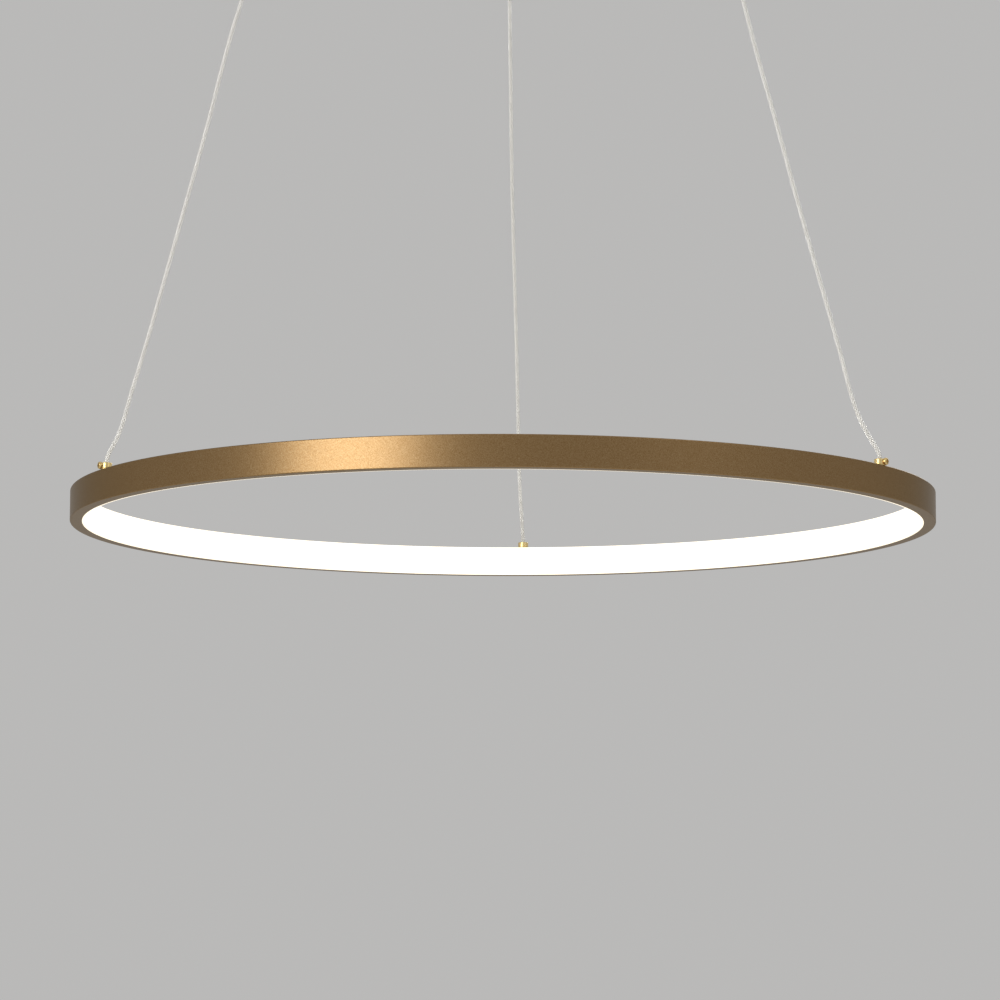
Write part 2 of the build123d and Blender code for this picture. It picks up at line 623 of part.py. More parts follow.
def terminal_screws():
    """A grub screw for each pole, whose tip presses on the wires."""
    tip = LEAD_DIAMETER / 2 + SCREW_TIP_GAP
    screw = rod(CLAMP_SCREW_DIAMETER, CLAMP_SCREW_LENGTH, -tip - CLAMP_SCREW_LENGTH)
    return [pole_place(pole) * screw for pole in range(3)]


def block_screw():
    """Screw that holds the block up against the strap."""
    screw = headed_screw(
        BLOCK_SCREW_DIAMETER, BLOCK_HEIGHT + STRAP_THICKNESS, BLOCK_SCREW_HEAD, BLOCK_SCREW_HEAD_HEIGHT
    )
    return Pos(BLOCK_X + POLE_PITCH / 2, 0, BLOCK_TOP_Z - BLOCK_HEIGHT) * Rot(180, 0, 0) * screw


def earth_screw():
    """Pan screw in the strap, head down, with room for the tag under it."""
    screw = headed_screw(
        EARTH_SCREW_DIAMETER, STRAP_THICKNESS + EARTH_TAG_THICKNESS, EARTH_SCREW_HEAD,
        EARTH_SCREW_HEAD_HEIGHT,
    )
    return Pos(EARTH_X, 0, -STRAP_THICKNESS - EARTH_TAG_THICKNESS) * Rot(180, 0, 0) * screw


def earth_tag():
    """Ring tag under the earth screw, with the barrel that holds its lead."""
    tag = rod(EARTH_TAG_DIAMETER, EARTH_TAG_THICKNESS)
    neck = upright_box(EARTH_TAG_REACH, EARTH_TAG_BARREL, EARTH_TAG_THICKNESS)
    tag += Pos(EARTH_TAG_REACH / 2, 0, 0) * neck
    tag -= rod(EARTH_SCREW_DIAMETER + 2 * HOLE_CLEARANCE, EARTH_TAG_THICKNESS)
    barrel = Rot(0, 90, 0) * Cylinder(EARTH_TAG_BARREL / 2, EARTH_TAG_BARREL_LENGTH)
    reach = EARTH_TAG_REACH + EARTH_TAG_BARREL_LENGTH / 2
    tag += Pos(reach, 0, EARTH_TAG_THICKNESS - EARTH_TAG_BARREL / 2) * barrel
    place = Pos(EARTH_X, 0, -STRAP_THICKNESS - EARTH_TAG_THICKNESS)
    return place * Rot(0, 0, EARTH_TAG_TURN) * tag


# ---------------------------------------------------------------- leads in the canopy
def mains_lead(pole):
    """Route of the lead from inside a pole's clamp to a port in the driver's mains end."""
    x = BLOCK_X + pole_offsets()[pole]
    end_x, end_y, end_z = port_place(mains_ports()[pole])
    return [
        (x, 1.0, BLOCK_MIDDLE_Z), (x, 18.0, BLOCK_MIDDLE_Z),
        ((x + end_x) / 2 - 4, end_y - 3, end_z + 2), (end_x - 11, end_y, end_z), (end_x, end_y, end_z),
    ]


def output_lead(side, port):
    """Route of the lead from a cord's head, under the strap, to a port in the driver's front."""
    x, y, z = at(CORD_ANGLES[side], GRIP_CIRCLE_RADIUS, FLOOR_Z + GRIP_STEM_LENGTH + HEAD_ABOVE_GRIP)
    end_x, end_y, end_z = port_place(port)
    inward = 1 if x < 0 else -1
    return [
        (x, y, z), (x, y, z + 5), (x + 4 * inward, y + 6, z + 10),
        (x + 30 * inward, y + 34, z + 9), (end_x, end_y - 14, end_z), (end_x, end_y, end_z),
    ]


def earth_lead():
    """Route of the lead from the third pole, beside the strap, to the earth tag's barrel."""
    x = BLOCK_X + pole_offsets()[2]
    turn = radians(EARTH_TAG_TURN)
    end_z = -STRAP_THICKNESS - EARTH_TAG_BARREL / 2
    reach = EARTH_TAG_REACH + EARTH_TAG_BARREL_LENGTH
    far = reach + 25
    return [
        (x, 1.0, BLOCK_MIDDLE_Z), (x, 17.0, BLOCK_MIDDLE_Z),
        (EARTH_X + far * cos(turn), far * sin(turn), end_z),
        (EARTH_X + reach * cos(turn), reach * sin(turn), end_z),
    ]


# ---------------------------------------------------------------- build
def main():
    os.makedirs("parts", exist_ok=True)
    save(ring_channel(), "ring_channel")
    save(ring_lens(), "ring_lens")
    save(led_strip(), "led_strip")
    save(led_chips(), "led_chips")
    collar_screws, collar_nuts, grip_screws, grip_nuts, joints = [], [], [], [], []
    for side, angle in CORD_ANGLES.items():
        seat = on_ring(angle, COLLAR_RADIUS, RING_TOP_Z)
        save(seat * collar(), "cord_collar_" + side)
        save(seat * cord_tail(), "cord_tail_" + side)
        collar_screws.append(seat * Pos(0, 0, COLLAR_SCREW_HEIGHT) * cord_screw(COLLAR_DIAMETER / 2))
        below = Pos(0, 0, -CHANNEL_FLANGE - COLLAR_NUT_HEIGHT)
        collar_nuts.append(seat * below * nut(COLLAR_NUT_FLATS, COLLAR_NUT_HEIGHT, COLLAR_STEM_DIAMETER))
        hung = on_ring(angle, GRIP_CIRCLE_RADIUS, FLOOR_Z)
        save(hung * cord_grip(), "cord_grip_" + side)
        save(hung * cord_head(), "cord_head_" + side)
        grip_screws.append(hung * Pos(0, 0, GRIP_SCREW_HEIGHT - GRIP_BODY_LENGTH) * cord_grub())
        above = Pos(0, 0, CANOPY_WALL)
        grip_nuts.append(hung * above * nut(GRIP_NUT_FLATS, GRIP_NUT_HEIGHT, GRIP_STEM_DIAMETER))
        save(cord(side), "cord_" + side)
    for side, port in zip(("left", "right"), output_ports()):
        route = strip_lead(CORD_ANGLES[side])
        save(lead_along(route, STRIP_LEAD_DIAMETER, "strip_lead_" + side), "strip_lead_" + side)
        joints.append(solder_joint(route))
        route = output_lead(side, port)
        save(lead_along(route, LEAD_DIAMETER, "output_lead_" + side), "output_lead_" + side)
    save(collar_screws, "collar_screws")
    save(collar_nuts, "collar_nuts")
    save(grip_screws, "grip_screws")
    save(grip_nuts, "grip_nuts")
    save(joints, "solder_joints")
    save(canopy_cup(), "canopy_cup")
    save(ceiling_bracket(), "ceiling_bracket")
    save(canopy_screws(), "canopy_screws")
    save(driver_case(), "driver_case")
    save(driver_lid(), "driver_lid")
    save(driver_board(), "driver_board")
    save(driver_transformer(), "driver_transformer")
    save(driver_capacitors(), "driver_capacitors")
    save(driver_pad(), "driver_pad")
    save(terminal_block(), "terminal_block")
    save(terminal_clamps(), "terminal_clamps")
    save(terminal_screws(), "terminal_screws")
    save(block_screw(), "terminal_block_screw")
    save(earth_screw(), "earth_screw")
    save(earth_tag(), "earth_tag")
    save(lead_along(mains_lead(0), LEAD_DIAMETER, "mains_lead_live"), "mains_lead_live")
    save(lead_along(mains_lead(1), LEAD_DIAMETER, "mains_lead_neutral"), "mains_lead_neutral")
    save(lead_along(earth_lead(), LEAD_DIAMETER, "earth_lead"), "earth_lead")


if __name__ == "__main__":
    main()
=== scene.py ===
"""Looks of a slim LED ring pendant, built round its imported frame.

A satin gold channel carries a glowing opal lens. It hangs on three clear cords over a silver
braid, from a round canopy that holds the driver and the terminals. Lengths are in metres in the
lamp's own frame, where +Z is up and the origin lies on the ceiling.
"""
from __future__ import annotations

import logging
import math
from dataclasses import dataclass, field
from enum import Enum
from itertools import product
from typing import Iterable, Sequence

import bmesh
import bpy
from mathutils import Matrix, Vector

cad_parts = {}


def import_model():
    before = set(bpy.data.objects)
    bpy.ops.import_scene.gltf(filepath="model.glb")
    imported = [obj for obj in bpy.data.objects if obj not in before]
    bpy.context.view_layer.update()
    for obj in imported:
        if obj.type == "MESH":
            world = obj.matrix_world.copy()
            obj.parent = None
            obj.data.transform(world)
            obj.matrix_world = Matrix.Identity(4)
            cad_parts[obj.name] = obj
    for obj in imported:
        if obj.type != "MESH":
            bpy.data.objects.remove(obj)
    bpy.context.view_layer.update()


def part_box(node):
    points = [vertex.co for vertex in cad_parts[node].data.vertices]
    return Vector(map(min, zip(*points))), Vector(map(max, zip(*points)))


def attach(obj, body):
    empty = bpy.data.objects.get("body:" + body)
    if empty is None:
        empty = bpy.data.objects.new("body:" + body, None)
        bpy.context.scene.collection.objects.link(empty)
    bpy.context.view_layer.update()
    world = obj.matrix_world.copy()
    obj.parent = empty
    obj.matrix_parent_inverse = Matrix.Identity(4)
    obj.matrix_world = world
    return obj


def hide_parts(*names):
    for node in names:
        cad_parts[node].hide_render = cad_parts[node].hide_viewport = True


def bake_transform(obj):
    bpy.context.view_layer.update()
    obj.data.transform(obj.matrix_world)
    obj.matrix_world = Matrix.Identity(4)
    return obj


LOG = logging.getLogger("ring_pendant")

MM = 0.001
CUT_WELD = 0.0001 * MM
OUTLINE_WELD = 0.0005 * MM
TUBE_WELD = 0.001 * MM
SCREW_WELD = 0.004 * MM
ON_AXIS = 0.001 * MM  # radius of an outline's corner on the axis, whose ring the weld closes
QUARTER = math.radians(90)

Colour = tuple[float, float, float, float]
Point = tuple[float, float, float]
Span = tuple[float, float]
Socket = bpy.types.NodeSocket
Piece = bpy.types.Object
Work = bmesh.types.BMesh

EVENLY: Point = (1.0, 1.0, 1.0)
WHOLE: Span = (0.0, 1.0)
NOISE_SPAN: Span = (0.3, 0.7)  # nearly all of a noise's values lie in it
MIX_FACTOR, MIX_FIRST, MIX_SECOND, MIX_RESULT = 0, 6, 7, 2  # a mix node's sockets for colours


class Body(Enum):
    """The two bodies that pieces ride on."""

    CANOPY = "canopy"
    RING = "ring"


class Side(Enum):
    """The three cords, each with its angle round the ring in degrees."""

    REAR = 90.0
    LEFT = 210.0
    RIGHT = 330.0

    @property
    def label(self) -> str:
        """The side's name as the frame writes it."""
        return self.name.lower()


class Drive(Enum):
    """The recess in a screw's end."""

    CROSS = "cross"
    SLOT = "slot"


def tone(red: int, green: int, blue: int) -> Colour:
    """Turn a screen colour into the linear one that shaders take.

    Args:
        red: Red, from 0 to 255.
        green: Green, from 0 to 255.
        blue: Blue, from 0 to 255.

    Returns:
        The linear colour with full alpha.
    """
    channels = []
    for value in (red, green, blue):
        share = value / 255
        channels.append(share / 12.92 if share <= 0.04045 else ((share + 0.055) / 1.055) ** 2.4)
    return (channels[0], channels[1], channels[2], 1.0)


def darker(colour: Colour, share: float) -> Colour:
    """Scale a colour down and keep its alpha."""
    return (colour[0] * share, colour[1] * share, colour[2] * share, colour[3])


# ---- node trees
class Nodes:
    """A node tree, with short ways to add nodes and to join them."""

    def __init__(self, tree: bpy.types.NodeTree) -> None:
        """Take the tree to build in."""
        self.tree = tree

    def add(self, kind: str, **settings: object) -> bpy.types.Node:
        """Add a node.

        Args:
            kind: The node's type.
            settings: Values for the node's own properties.

        Returns:
            The new node.
        """
        node = self.tree.nodes.new(kind)
        for key, value in settings.items():
            setattr(node, key, value)
        return node

    def join(self, source: Socket, target: Socket) -> None:
        """Link an output to an input."""
        self.tree.links.new(source, target)

    def give(self, values: Iterable[object], targets: Iterable[Socket]) -> None:
        """Link each value that is a socket to its input, and set the input to any other one.

        Args:
            values: Sockets, numbers or colours.
            targets: The inputs that take them.
        """
        for value, target in zip(values, targets):
            if isinstance(value, Socket):
                self.join(value, target)
            else:
                target.default_value = value

    def math(self, operation: str, *values: object) -> Socket:
        """Add a calculation.

        Args:
            operation: The operation's name.
            values: The sockets or numbers that it takes.

        Returns:
            The result.
        """
        node = self.add("ShaderNodeMath", operation=operation)
        self.give(values, node.inputs)
        return node.outputs["Value"]

    def spread(self, factor: Socket, start: Span, end: Span) -> Socket:
        """Map a range of values to another one.

        Args:
            factor: The value.
            start: The range that it has.
            end: The range that it gets.

        Returns:
            The mapped value.
        """
        node = self.add("ShaderNodeMapRange")
        ends = [node.inputs[name] for name in ("From Min", "From Max", "To Min", "To Max")]
        self.give((factor, *start, *end), (node.inputs["Value"], *ends))
        return node.outputs["Result"]

    def mixed(self, factor: Socket, first: object, second: object) -> Socket:
        """Mix two colours.

        Args:
            factor: The share of the second colour.
            first: A colour, or a socket that gives one.
            second: A colour, or a socket that gives one.

        Returns:
            The mixed colour.
        """
        node = self.add("ShaderNodeMix", data_type="RGBA")
        targets = [node.inputs[place] for place in (MIX_FACTOR, MIX_FIRST, MIX_SECOND)]
        self.give((factor, first, second), targets)
        return node.outputs[MIX_RESULT]


class Shader(Nodes):
    """The nodes of one material round its Principled shader."""

    def __init__(self, name: str) -> None:
        """Start the material.

        Args:
            name: The material's name.
        """
        self.material = bpy.data.materials.new(name)
        self.material.use_nodes = True
        super().__init__(self.material.node_tree)
        self.surface = self.tree.nodes["Principled BSDF"]
        self.places = self.add("ShaderNodeTexCoord")

    def fix(self, **values: object) -> None:
        """Set constant values on the shader's own sockets, with underscores for spaces."""
        for key, value in values.items():
            self.surface.inputs[key.replace("_", " ")].default_value = value

    def feed(self, **sockets: Socket) -> None:
        """Link sockets to the shader's inputs, with underscores for spaces."""
        for key, socket in sockets.items():
            self.join(socket, self.surface.inputs[key.replace("_", " ")])

    def split(self, kind: str = "Object") -> bpy.types.NodeOutputs:
        """Take coordinates apart.

        Args:
            kind: The coordinates' name.

        Returns:
            The outputs X, Y and Z.
        """
        node = self.add("ShaderNodeSeparateXYZ")
        self.join(self.places.outputs[kind], node.inputs["Vector"])
        return node.outputs

    def spot(self, stretch: Point) -> Socket:
        """Give the object coordinates, stretched along each axis.

        Args:
            stretch: How many times finer a pattern gets along X, Y and Z.

        Returns:
            The vector output.
        """
        mapping = self.add("ShaderNodeMapping")
        mapping.inputs["Scale"].default_value = stretch
        self.join(self.places.outputs["Object"], mapping.inputs["Vector"])
        return mapping.outputs["Vector"]

    def drawn(self, pattern: Noise | Cells, low: float, high: float) -> Socket:
        """Draw a pattern between two values."""
        return self.spread(pattern.draw(self), pattern.span, (low, high))

    def relief(self, height: Socket, strength: float, depth: float) -> None:
        """Give the surface a bump.

        Args:
            height: The height pattern.
            strength: How strong the bump is, from 0 to 1.
            depth: The height of the bump in metres.
        """
        node = self.add("ShaderNodeBump")
        self.give((strength, depth, height),
                  [node.inputs[name] for name in ("Strength", "Distance", "Height")])
        self.feed(Normal=node.outputs["Normal"])


@dataclass(frozen=True)
class Noise:
    """Soft noise with its features per metre, and the span of its values that counts."""

    scale: float
    detail: float = 3.0
    stretch: Point = EVENLY
    span: Span = NOISE_SPAN

    def draw(self, shader: Shader) -> Socket:
        """Add the noise to a material.

        Args:
            shader: The material's nodes.

        Returns:
            The noise's value.
        """
        node = shader.add("ShaderNodeTexNoise")
        shader.give((shader.spot(self.stretch), self.scale, self.detail),
                    [node.inputs[name] for name in ("Vector", "Scale", "Detail")])
        return node.outputs["Fac"]


@dataclass(frozen=True)
class Cells:
    """Cells of a random grey each, so many per metre, and the span of greys that counts."""

    scale: float
    span: Span = WHOLE

    def draw(self, shader: Shader) -> Socket:
        """Add the cells to a material.

        Args:
            shader: The material's nodes.

        Returns:
            The random grey.
        """
        node = shader.add("ShaderNodeTexVoronoi")
        shader.give((shader.spot(EVENLY), self.scale), (node.inputs["Vector"], node.inputs["Scale"]))
        split = shader.add("ShaderNodeSeparateColor")
        shader.join(node.outputs["Color"], split.inputs["Color"])
        return split.outputs["Red"]


# ---- finishes
@dataclass(frozen=True)
class Finish:
    """A surface finish, made once and shared by its pieces."""

    name: str

    def material(self) -> bpy.types.Material:
        """Give the finish's material.

        Returns:
            The material, which is made at the first call.
        """
        found = bpy.data.materials.get(self.name)
        if found is None:
            shader = Shader(self.name)
            self.paint(shader)
            found = shader.material
        return found

    def paint(self, shader: Shader) -> None:
        """Build the finish's nodes."""
        raise NotImplementedError


@dataclass(frozen=True)
class Grained(Finish):
    """Two shades clouded into each other under a grain, as on moulded plastic, foam or board."""

    shade: Colour
    other: Colour
    roughness: float = 0.5
    grain: Noise = Noise(2400.0, 2.0)
    cloud: Noise | Cells = Noise(70.0, span=(0.35, 0.65))
    most_other: float = 1.0
    smoother: float = 0.06
    rougher: float = 0.08
    metal: float = 0.0
    bump: float = 0.3
    depth: float = 0.03 * MM

    def paint(self, shader: Shader) -> None:
        """Cloud the colour, and let the grain vary the gloss and raise the surface.

        Args:
            shader: The material's nodes.
        """
        cloud = shader.drawn(self.cloud, 0.0, self.most_other)
        shader.feed(Base_Color=shader.mixed(cloud, self.shade, self.other))
        shader.fix(Metallic=self.metal)
        grain = self.grain.draw(shader)
        gloss = (self.roughness - self.smoother, self.roughness + self.rougher)
        shader.feed(Roughness=shader.spread(grain, self.grain.span, gloss))
        if self.bump > 0:
            shader.relief(grain, self.bump, self.depth)


@dataclass(frozen=True)
class TurnedMetal(Grained):
    """Lacquered metal with dull patches and the fine rings that a lathe leaves along Z."""

    roughness: float = 0.32
    grain: Noise = Noise(5200.0, 2.0, (0.02, 0.02, 1.0))
    cloud: Noise = Noise(420.0, 4.0, span=(0.42, 0.72))
    most_other: float = 0.6
    rougher: float = 0.12
    metal: float = 1.0
    bump: float = 0.18
    depth: float = 0.02 * MM


@dataclass(frozen=True)
class PlatedSteel(Grained):
    """Plating with faint spangles over a fine grain."""

    roughness: float = 0.34
    grain: Noise = Noise(1600.0)
    cloud: Cells = Cells(520.0)
    most_other: float = 0.5
    smoother: float = 0.07
    rougher: float = 0.09
    metal: float = 1.0
    bump: float = 0.12
    depth: float = 0.02 * MM


@dataclass(frozen=True)
class SilverWire(Grained):
    """Tinned wire that is dull in short stretches."""

    roughness: float = 0.26
    grain: Noise = Noise(380.0, stretch=(1.0, 1.0, 0.6))
    cloud: Noise = Noise(380.0, stretch=(1.0, 1.0, 0.6), span=(0.35, 0.7))
    rougher: float = 0.10
    metal: float = 1.0
    bump: float = 0.0


@dataclass(frozen=True)
class SatinPaint(Finish):
    """Metallic paint with fine flakes and a slight orange peel."""

    shade: Colour
    flake: Colour
    edge: Colour
    flakes: Cells = Cells(6500.0, (0.5, 1.0))
    speckles: Noise = Noise(1500.0, 1.0)
    peel: Noise = Noise(900.0, 2.0)
    flake_share: float = 0.32
    speckle_share: float = 0.14
    gloss: Span = (0.32, 0.38)
    bump: float = 0.06
    depth: float = 0.02 * MM

    def paint(self, shader: Shader) -> None:
        """Mix brighter flakes and speckles into the paint, under a clear coat with a peel.

        Args:
            shader: The material's nodes.
        """
        flakes = shader.drawn(self.flakes, 0.0, self.flake_share)
        speckles = shader.drawn(self.speckles, 0.0, self.speckle_share)
        flaked = shader.mixed(flakes, self.shade, self.flake)
        shader.feed(Base_Color=shader.mixed(speckles, flaked, self.flake))
        shader.fix(Metallic=0.95, Specular_Tint=self.edge)
        shader.fix(Coat_Weight=0.4, Coat_Roughness=0.3, Coat_IOR=1.4)
        peel = self.peel.draw(shader)
        shader.feed(Roughness=shader.spread(peel, self.peel.span, self.gloss))
        shader.relief(peel, self.bump, self.depth)


@dataclass(frozen=True)
class OpalGlow(Finish):
    """Opal plastic lit from behind: brightest along its middle, warmer and dimmer at its edges."""

    middle_z: float
    half_height: float
    chips: int
    core: Colour = tone(255, 252, 244)
    edge: Colour = tone(255, 233, 196)
    shade: Colour = tone(236, 234, 228)
    other: Colour = tone(246, 244, 238)
    core_strength: float = 2.1
    edge_strength: float = 0.95
    rim_share: float = 0.8
    ripple: float = 0.03
    fade: Span = (0.35, 0.95)
    rim: Span = (0.965, 0.995)
    milk: Noise = Noise(60.0, 2.0)
    grain: Noise = Noise(2600.0, 2.0)
    gloss: Span = (0.42, 0.52)

    def paint(self, shader: Shader) -> None:
        """Grade the light by height, with a faint ripple at the chips' pitch.

        Args:
            shader: The material's nodes.
        """
        spot = shader.split()
        offset = shader.math("SUBTRACT", spot["Z"], self.middle_z)
        share = shader.math("DIVIDE", shader.math("ABSOLUTE", offset), self.half_height)
        outward = shader.spread(share, self.fade, WHOLE)
        angle = shader.math("ARCTAN2", spot["Y"], spot["X"])
        wave = shader.math("SINE", shader.math("MULTIPLY", angle, float(self.chips)))
        ripple = shader.math("MULTIPLY_ADD", wave, self.ripple, 1.0)
        body = shader.spread(outward, WHOLE, (self.core_strength, self.edge_strength))
        rim = shader.spread(share, self.rim, (1.0, self.rim_share))
        strength = shader.math("MULTIPLY", shader.math("MULTIPLY", body, rim), ripple)
        colour = shader.mixed(outward, self.core, self.edge)
        shader.feed(Emission_Strength=strength, Emission_Color=colour)
        milk = shader.drawn(self.milk, *WHOLE)
        shader.feed(Base_Color=shader.mixed(milk, self.shade, self.other))
        shader.feed(Roughness=shader.drawn(self.grain, *self.gloss))


@dataclass(frozen=True)
class ClearJacket(Finish):
    """Clear soft plastic with slight flow marks along the cord, and a painted grey shade where it is
    seen edge on.
    """

    clear: Colour = tone(250, 250, 248)
    milky: Colour = tone(240, 241, 238)
    # painted shade: the grey that the jacket takes towards its rim, for the dark edges that
    # refraction gives a clear tube
    grey: Colour = tone(178, 179, 175)
    flow: Noise = Noise(240.0, 2.0, (1.0, 1.0, 0.25))
    rim: Span = (0.4, 0.95)
    cover: Span = (0.2, 0.6)
    gloss: Span = (0.03, 0.10)
    bump: float = 0.25
    depth: float = 0.06 * MM

    def paint(self, shader: Shader) -> None:
        """Let light through, ripple the surface a little, and cover more towards the rim, where a
        painted grey shade stands for the dark edges of a clear tube.

        Args:
            shader: The material's nodes.
        """
        facing = shader.add("ShaderNodeLayerWeight").outputs["Facing"]
        rim = shader.spread(facing, self.rim, WHOLE)
        shader.fix(Transmission_Weight=1.0, IOR=1.35)
        shader.feed(Alpha=shader.spread(rim, WHOLE, self.cover))
        flow = self.flow.draw(shader)
        clear = shader.mixed(shader.spread(flow, self.flow.span, WHOLE), self.clear, self.milky)
        # painted shade: towards the rim the clear colour is mixed into grey
        shader.feed(Base_Color=shader.mixed(rim, clear, self.grey))
        shader.feed(Roughness=shader.spread(flow, self.flow.span, self.gloss))
        shader.relief(flow, self.bump, self.depth)


@dataclass(frozen=True)
class Insulation(Finish):
    """Soft wire insulation, plain or with a stripe along it."""

    shade: Colour
    stripe: Colour | None = None
    grain: Noise = Noise(900.0)
    dark: float = 0.72
    dark_share: float = 0.6
    gloss: Span = (0.34, 0.46)
    bump: float = 0.10
    depth: float = 0.03 * MM

    def paint(self, shader: Shader) -> None:
        """Colour the wire unevenly, and stripe half of its round by its own map.

        Args:
            shader: The material's nodes.
        """
        grain = self.grain.draw(shader)
        uneven = shader.spread(grain, self.grain.span, (0.0, self.dark_share))
        colour = shader.mixed(uneven, self.shade, darker(self.shade, self.dark))
        if self.stripe is not None:
            half = shader.math("GREATER_THAN", shader.split("UV")["Y"], 0.5)
            colour = shader.mixed(half, colour, self.stripe)
        shader.feed(Base_Color=colour)
        shader.feed(Roughness=shader.spread(grain, self.grain.span, self.gloss))
        shader.relief(grain, self.bump, self.depth)


@dataclass(frozen=True)
class Banded(Finish):
    """Two materials in one piece, parted by their distance from a plane across Y."""

    centre: float
    reach: float
    inside: Colour
    outside: Colour
    grain: Noise = Noise(700.0, span=(0.4, 0.8))
    dark: float = 0.6
    dark_share: float = 0.5
    gloss: Span = (0.36, 0.52)

    def paint(self, shader: Shader) -> None:
        """Colour what lies past the reach unlike the rest.

        Args:
            shader: The material's nodes.
        """
        offset = shader.math("SUBTRACT", shader.split()["Y"], self.centre)
        past = shader.math("GREATER_THAN", shader.math("ABSOLUTE", offset), self.reach)
        colour = shader.mixed(past, self.inside, self.outside)
        grain = self.grain.draw(shader)
        uneven = shader.spread(grain, self.grain.span, (0.0, self.dark_share))
        shader.feed(Base_Color=shader.mixed(uneven, colour, darker(self.inside, self.dark)))
        shader.feed(Roughness=shader.spread(grain, NOISE_SPAN, self.gloss))


GOLD = SatinPaint("satin_gold_paint", tone(125, 92, 48), tone(212, 190, 150), tone(168, 165, 156))
BRASS = TurnedMetal("turned_brass", tone(242, 218, 156), tone(214, 180, 112))
ZINC = PlatedSteel("zinc_plate", tone(214, 215, 216), tone(176, 179, 183))
PLATED = PlatedSteel("brass_plate", tone(226, 198, 134), tone(196, 164, 102), 0.30)
JACKET = ClearJacket("clear_jacket")
TINNED = SilverWire("tinned_wire", tone(254, 253, 250), tone(245, 243, 239), 0.27, metal=0.12)
# the filler is darker than the wires: partly its own duller tone, partly painted shade for the gaps
# between the braid's wires
FILLER = SilverWire("braid_filler", tone(196, 193, 186), tone(160, 157, 150), 0.42, metal=0.2)
SOLDER = SilverWire("bright_solder", tone(220, 221, 222), tone(180, 182, 184), 0.2)
BROWN = Insulation("brown_insulation", tone(104, 60, 34))
BLUE = Insulation("blue_insulation", tone(38, 92, 176))
EARTH = Insulation("green_yellow_insulation", tone(58, 142, 60), tone(232, 204, 44))
RED = Insulation("red_insulation", tone(186, 34, 28))
BLACK = Insulation("black_insulation", tone(34, 34, 35))
CASE = Grained("white_moulding", tone(236, 235, 230), tone(228, 227, 221))
NYLON = Grained("natural_nylon", tone(236, 231, 214), tone(226, 219, 198), 0.38, Noise(1800.0, 2.0))
SLEEVE = Grained("black_sleeve", tone(30, 31, 38), tone(40, 42, 52), 0.3, Noise(1200.0, 2.0))
FOAM = Grained("closed_foam", tone(58, 58, 60), tone(44, 44, 46), 0.85, Noise(1300.0, 2.0),
               depth=0.25 * MM)
BOARD = Grained("green_board", tone(30, 104, 56), tone(22, 82, 44), 0.34, Noise(900.0, 2.0))
MASK = Grained("white_strip_board", tone(240, 240, 238), tone(230, 230, 226), 0.4, Noise(1500.0, 2.0))
PHOSPHOR = Grained("chip_phosphor", tone(246, 226, 120), tone(250, 238, 170), 0.45,
                   Noise(3000.0, 2.0))
PAPER = Grained("pale_floor", tone(244, 243, 240), tone(247, 246, 243), 0.8, Noise(40.0, 2.0),
                depth=0.2 * MM)


# ---- mesh tools
@dataclass(frozen=True)
class Corner:
    """A corner of a turned outline, with the size of its rounding."""

    radius: float
    height: float
    rounding: float = 0.0


def lathe(outline: Sequence[Corner], steps: int, start: float = 0.0, sweep: float = math.tau,
          round_steps: int = 3) -> Work:
    """Turn a closed outline about Z.

    Args:
        outline: The outline's corners in order.
        steps: Steps round the axis.
        start: The angle at which a part turn starts.
        sweep: How far it turns, a full turn by default.
        round_steps: Segments in each rounding.

    Returns:
        The turned mesh, closed and facing outward.
    """
    bm = bmesh.new()
    spots = [bm.verts.new((c.radius, 0.0, c.height)) for c in outline]
    for here, after in zip(spots, spots[1:] + spots[:1]):
        bm.edges.new((here, after))
    for spot, corner in zip(spots, outline):
        if corner.rounding > 0:
            bmesh.ops.bevel(bm, geom=[spot], offset=corner.rounding, offset_type="OFFSET",
                            affect="VERTICES", segments=round_steps, profile=0.5, material=-1)
    full = sweep == math.tau
    if not full:
        bmesh.ops.contextual_create(bm, geom=bm.edges[:])
    bmesh.ops.rotate(bm, verts=bm.verts, matrix=Matrix.Rotation(start, 3, "Z"))
    geometry = bm.verts[:] + bm.edges[:] + bm.faces[:]
    bmesh.ops.spin(bm, geom=geometry, axis=(0, 0, 1), angle=sweep, steps=steps, use_merge=full)
    bmesh.ops.remove_doubles(bm, verts=bm.verts, dist=OUTLINE_WELD)
    bmesh.ops.recalc_face_normals(bm, faces=bm.faces)
    return bm


def shaped(bm: Work, place: Matrix) -> Work:
    """Move a mesh to its place."""
    bmesh.ops.transform(bm, matrix=place, verts=bm.verts)
    return bm


def joined(parts: Iterable[Work]) -> Work:
    """Put several meshes into one, and free them.

    Args:
        parts: The meshes.

    Returns:
        The one mesh.
    """
    whole = bmesh.new()
    for part in parts:
        mesh = bpy.data.meshes.new("part")
        part.to_mesh(mesh)
        part.free()
        whole.from_mesh(mesh)
        bpy.data.meshes.remove(mesh)
    return whole


def as_piece(source: Work | bpy.types.Mesh, name: str, finish: Finish,
             sharp: float = math.radians(32)) -> Piece:
    """Make a finished object of a mesh.

    Args:
        source: A tube's mesh, smooth all over, or a bmesh, which is freed and stays sharp at its
            sharp edges.
        name: The object's name.
        finish: The finish it wears.
        sharp: The angle past which an edge stays sharp.

    Returns:
        The object, at the origin.
    """
    if isinstance(source, bpy.types.Mesh):
        mesh = source
        mesh.name = name
        mesh.shade_smooth()
    else:
        for edge in source.edges:
            edge.smooth = len(edge.link_faces) == 2 and edge.calc_face_angle(0.0) < sharp
        for face in source.faces:
            face.smooth = True
        mesh = bpy.data.meshes.new(name)
        source.to_mesh(mesh)
        source.free()
    mesh.materials.clear()
    mesh.materials.append(finish.material())
    piece = bpy.data.objects.new(name, mesh)
    bpy.context.scene.collection.objects.link(piece)
    return piece


def weigh_normals(piece: Piece) -> None:
    """Keep wide faces flat beside narrow roundings."""
    weighted = piece.modifiers.new("flat_faces", "WEIGHTED_NORMAL")
    weighted.keep_sharp = True


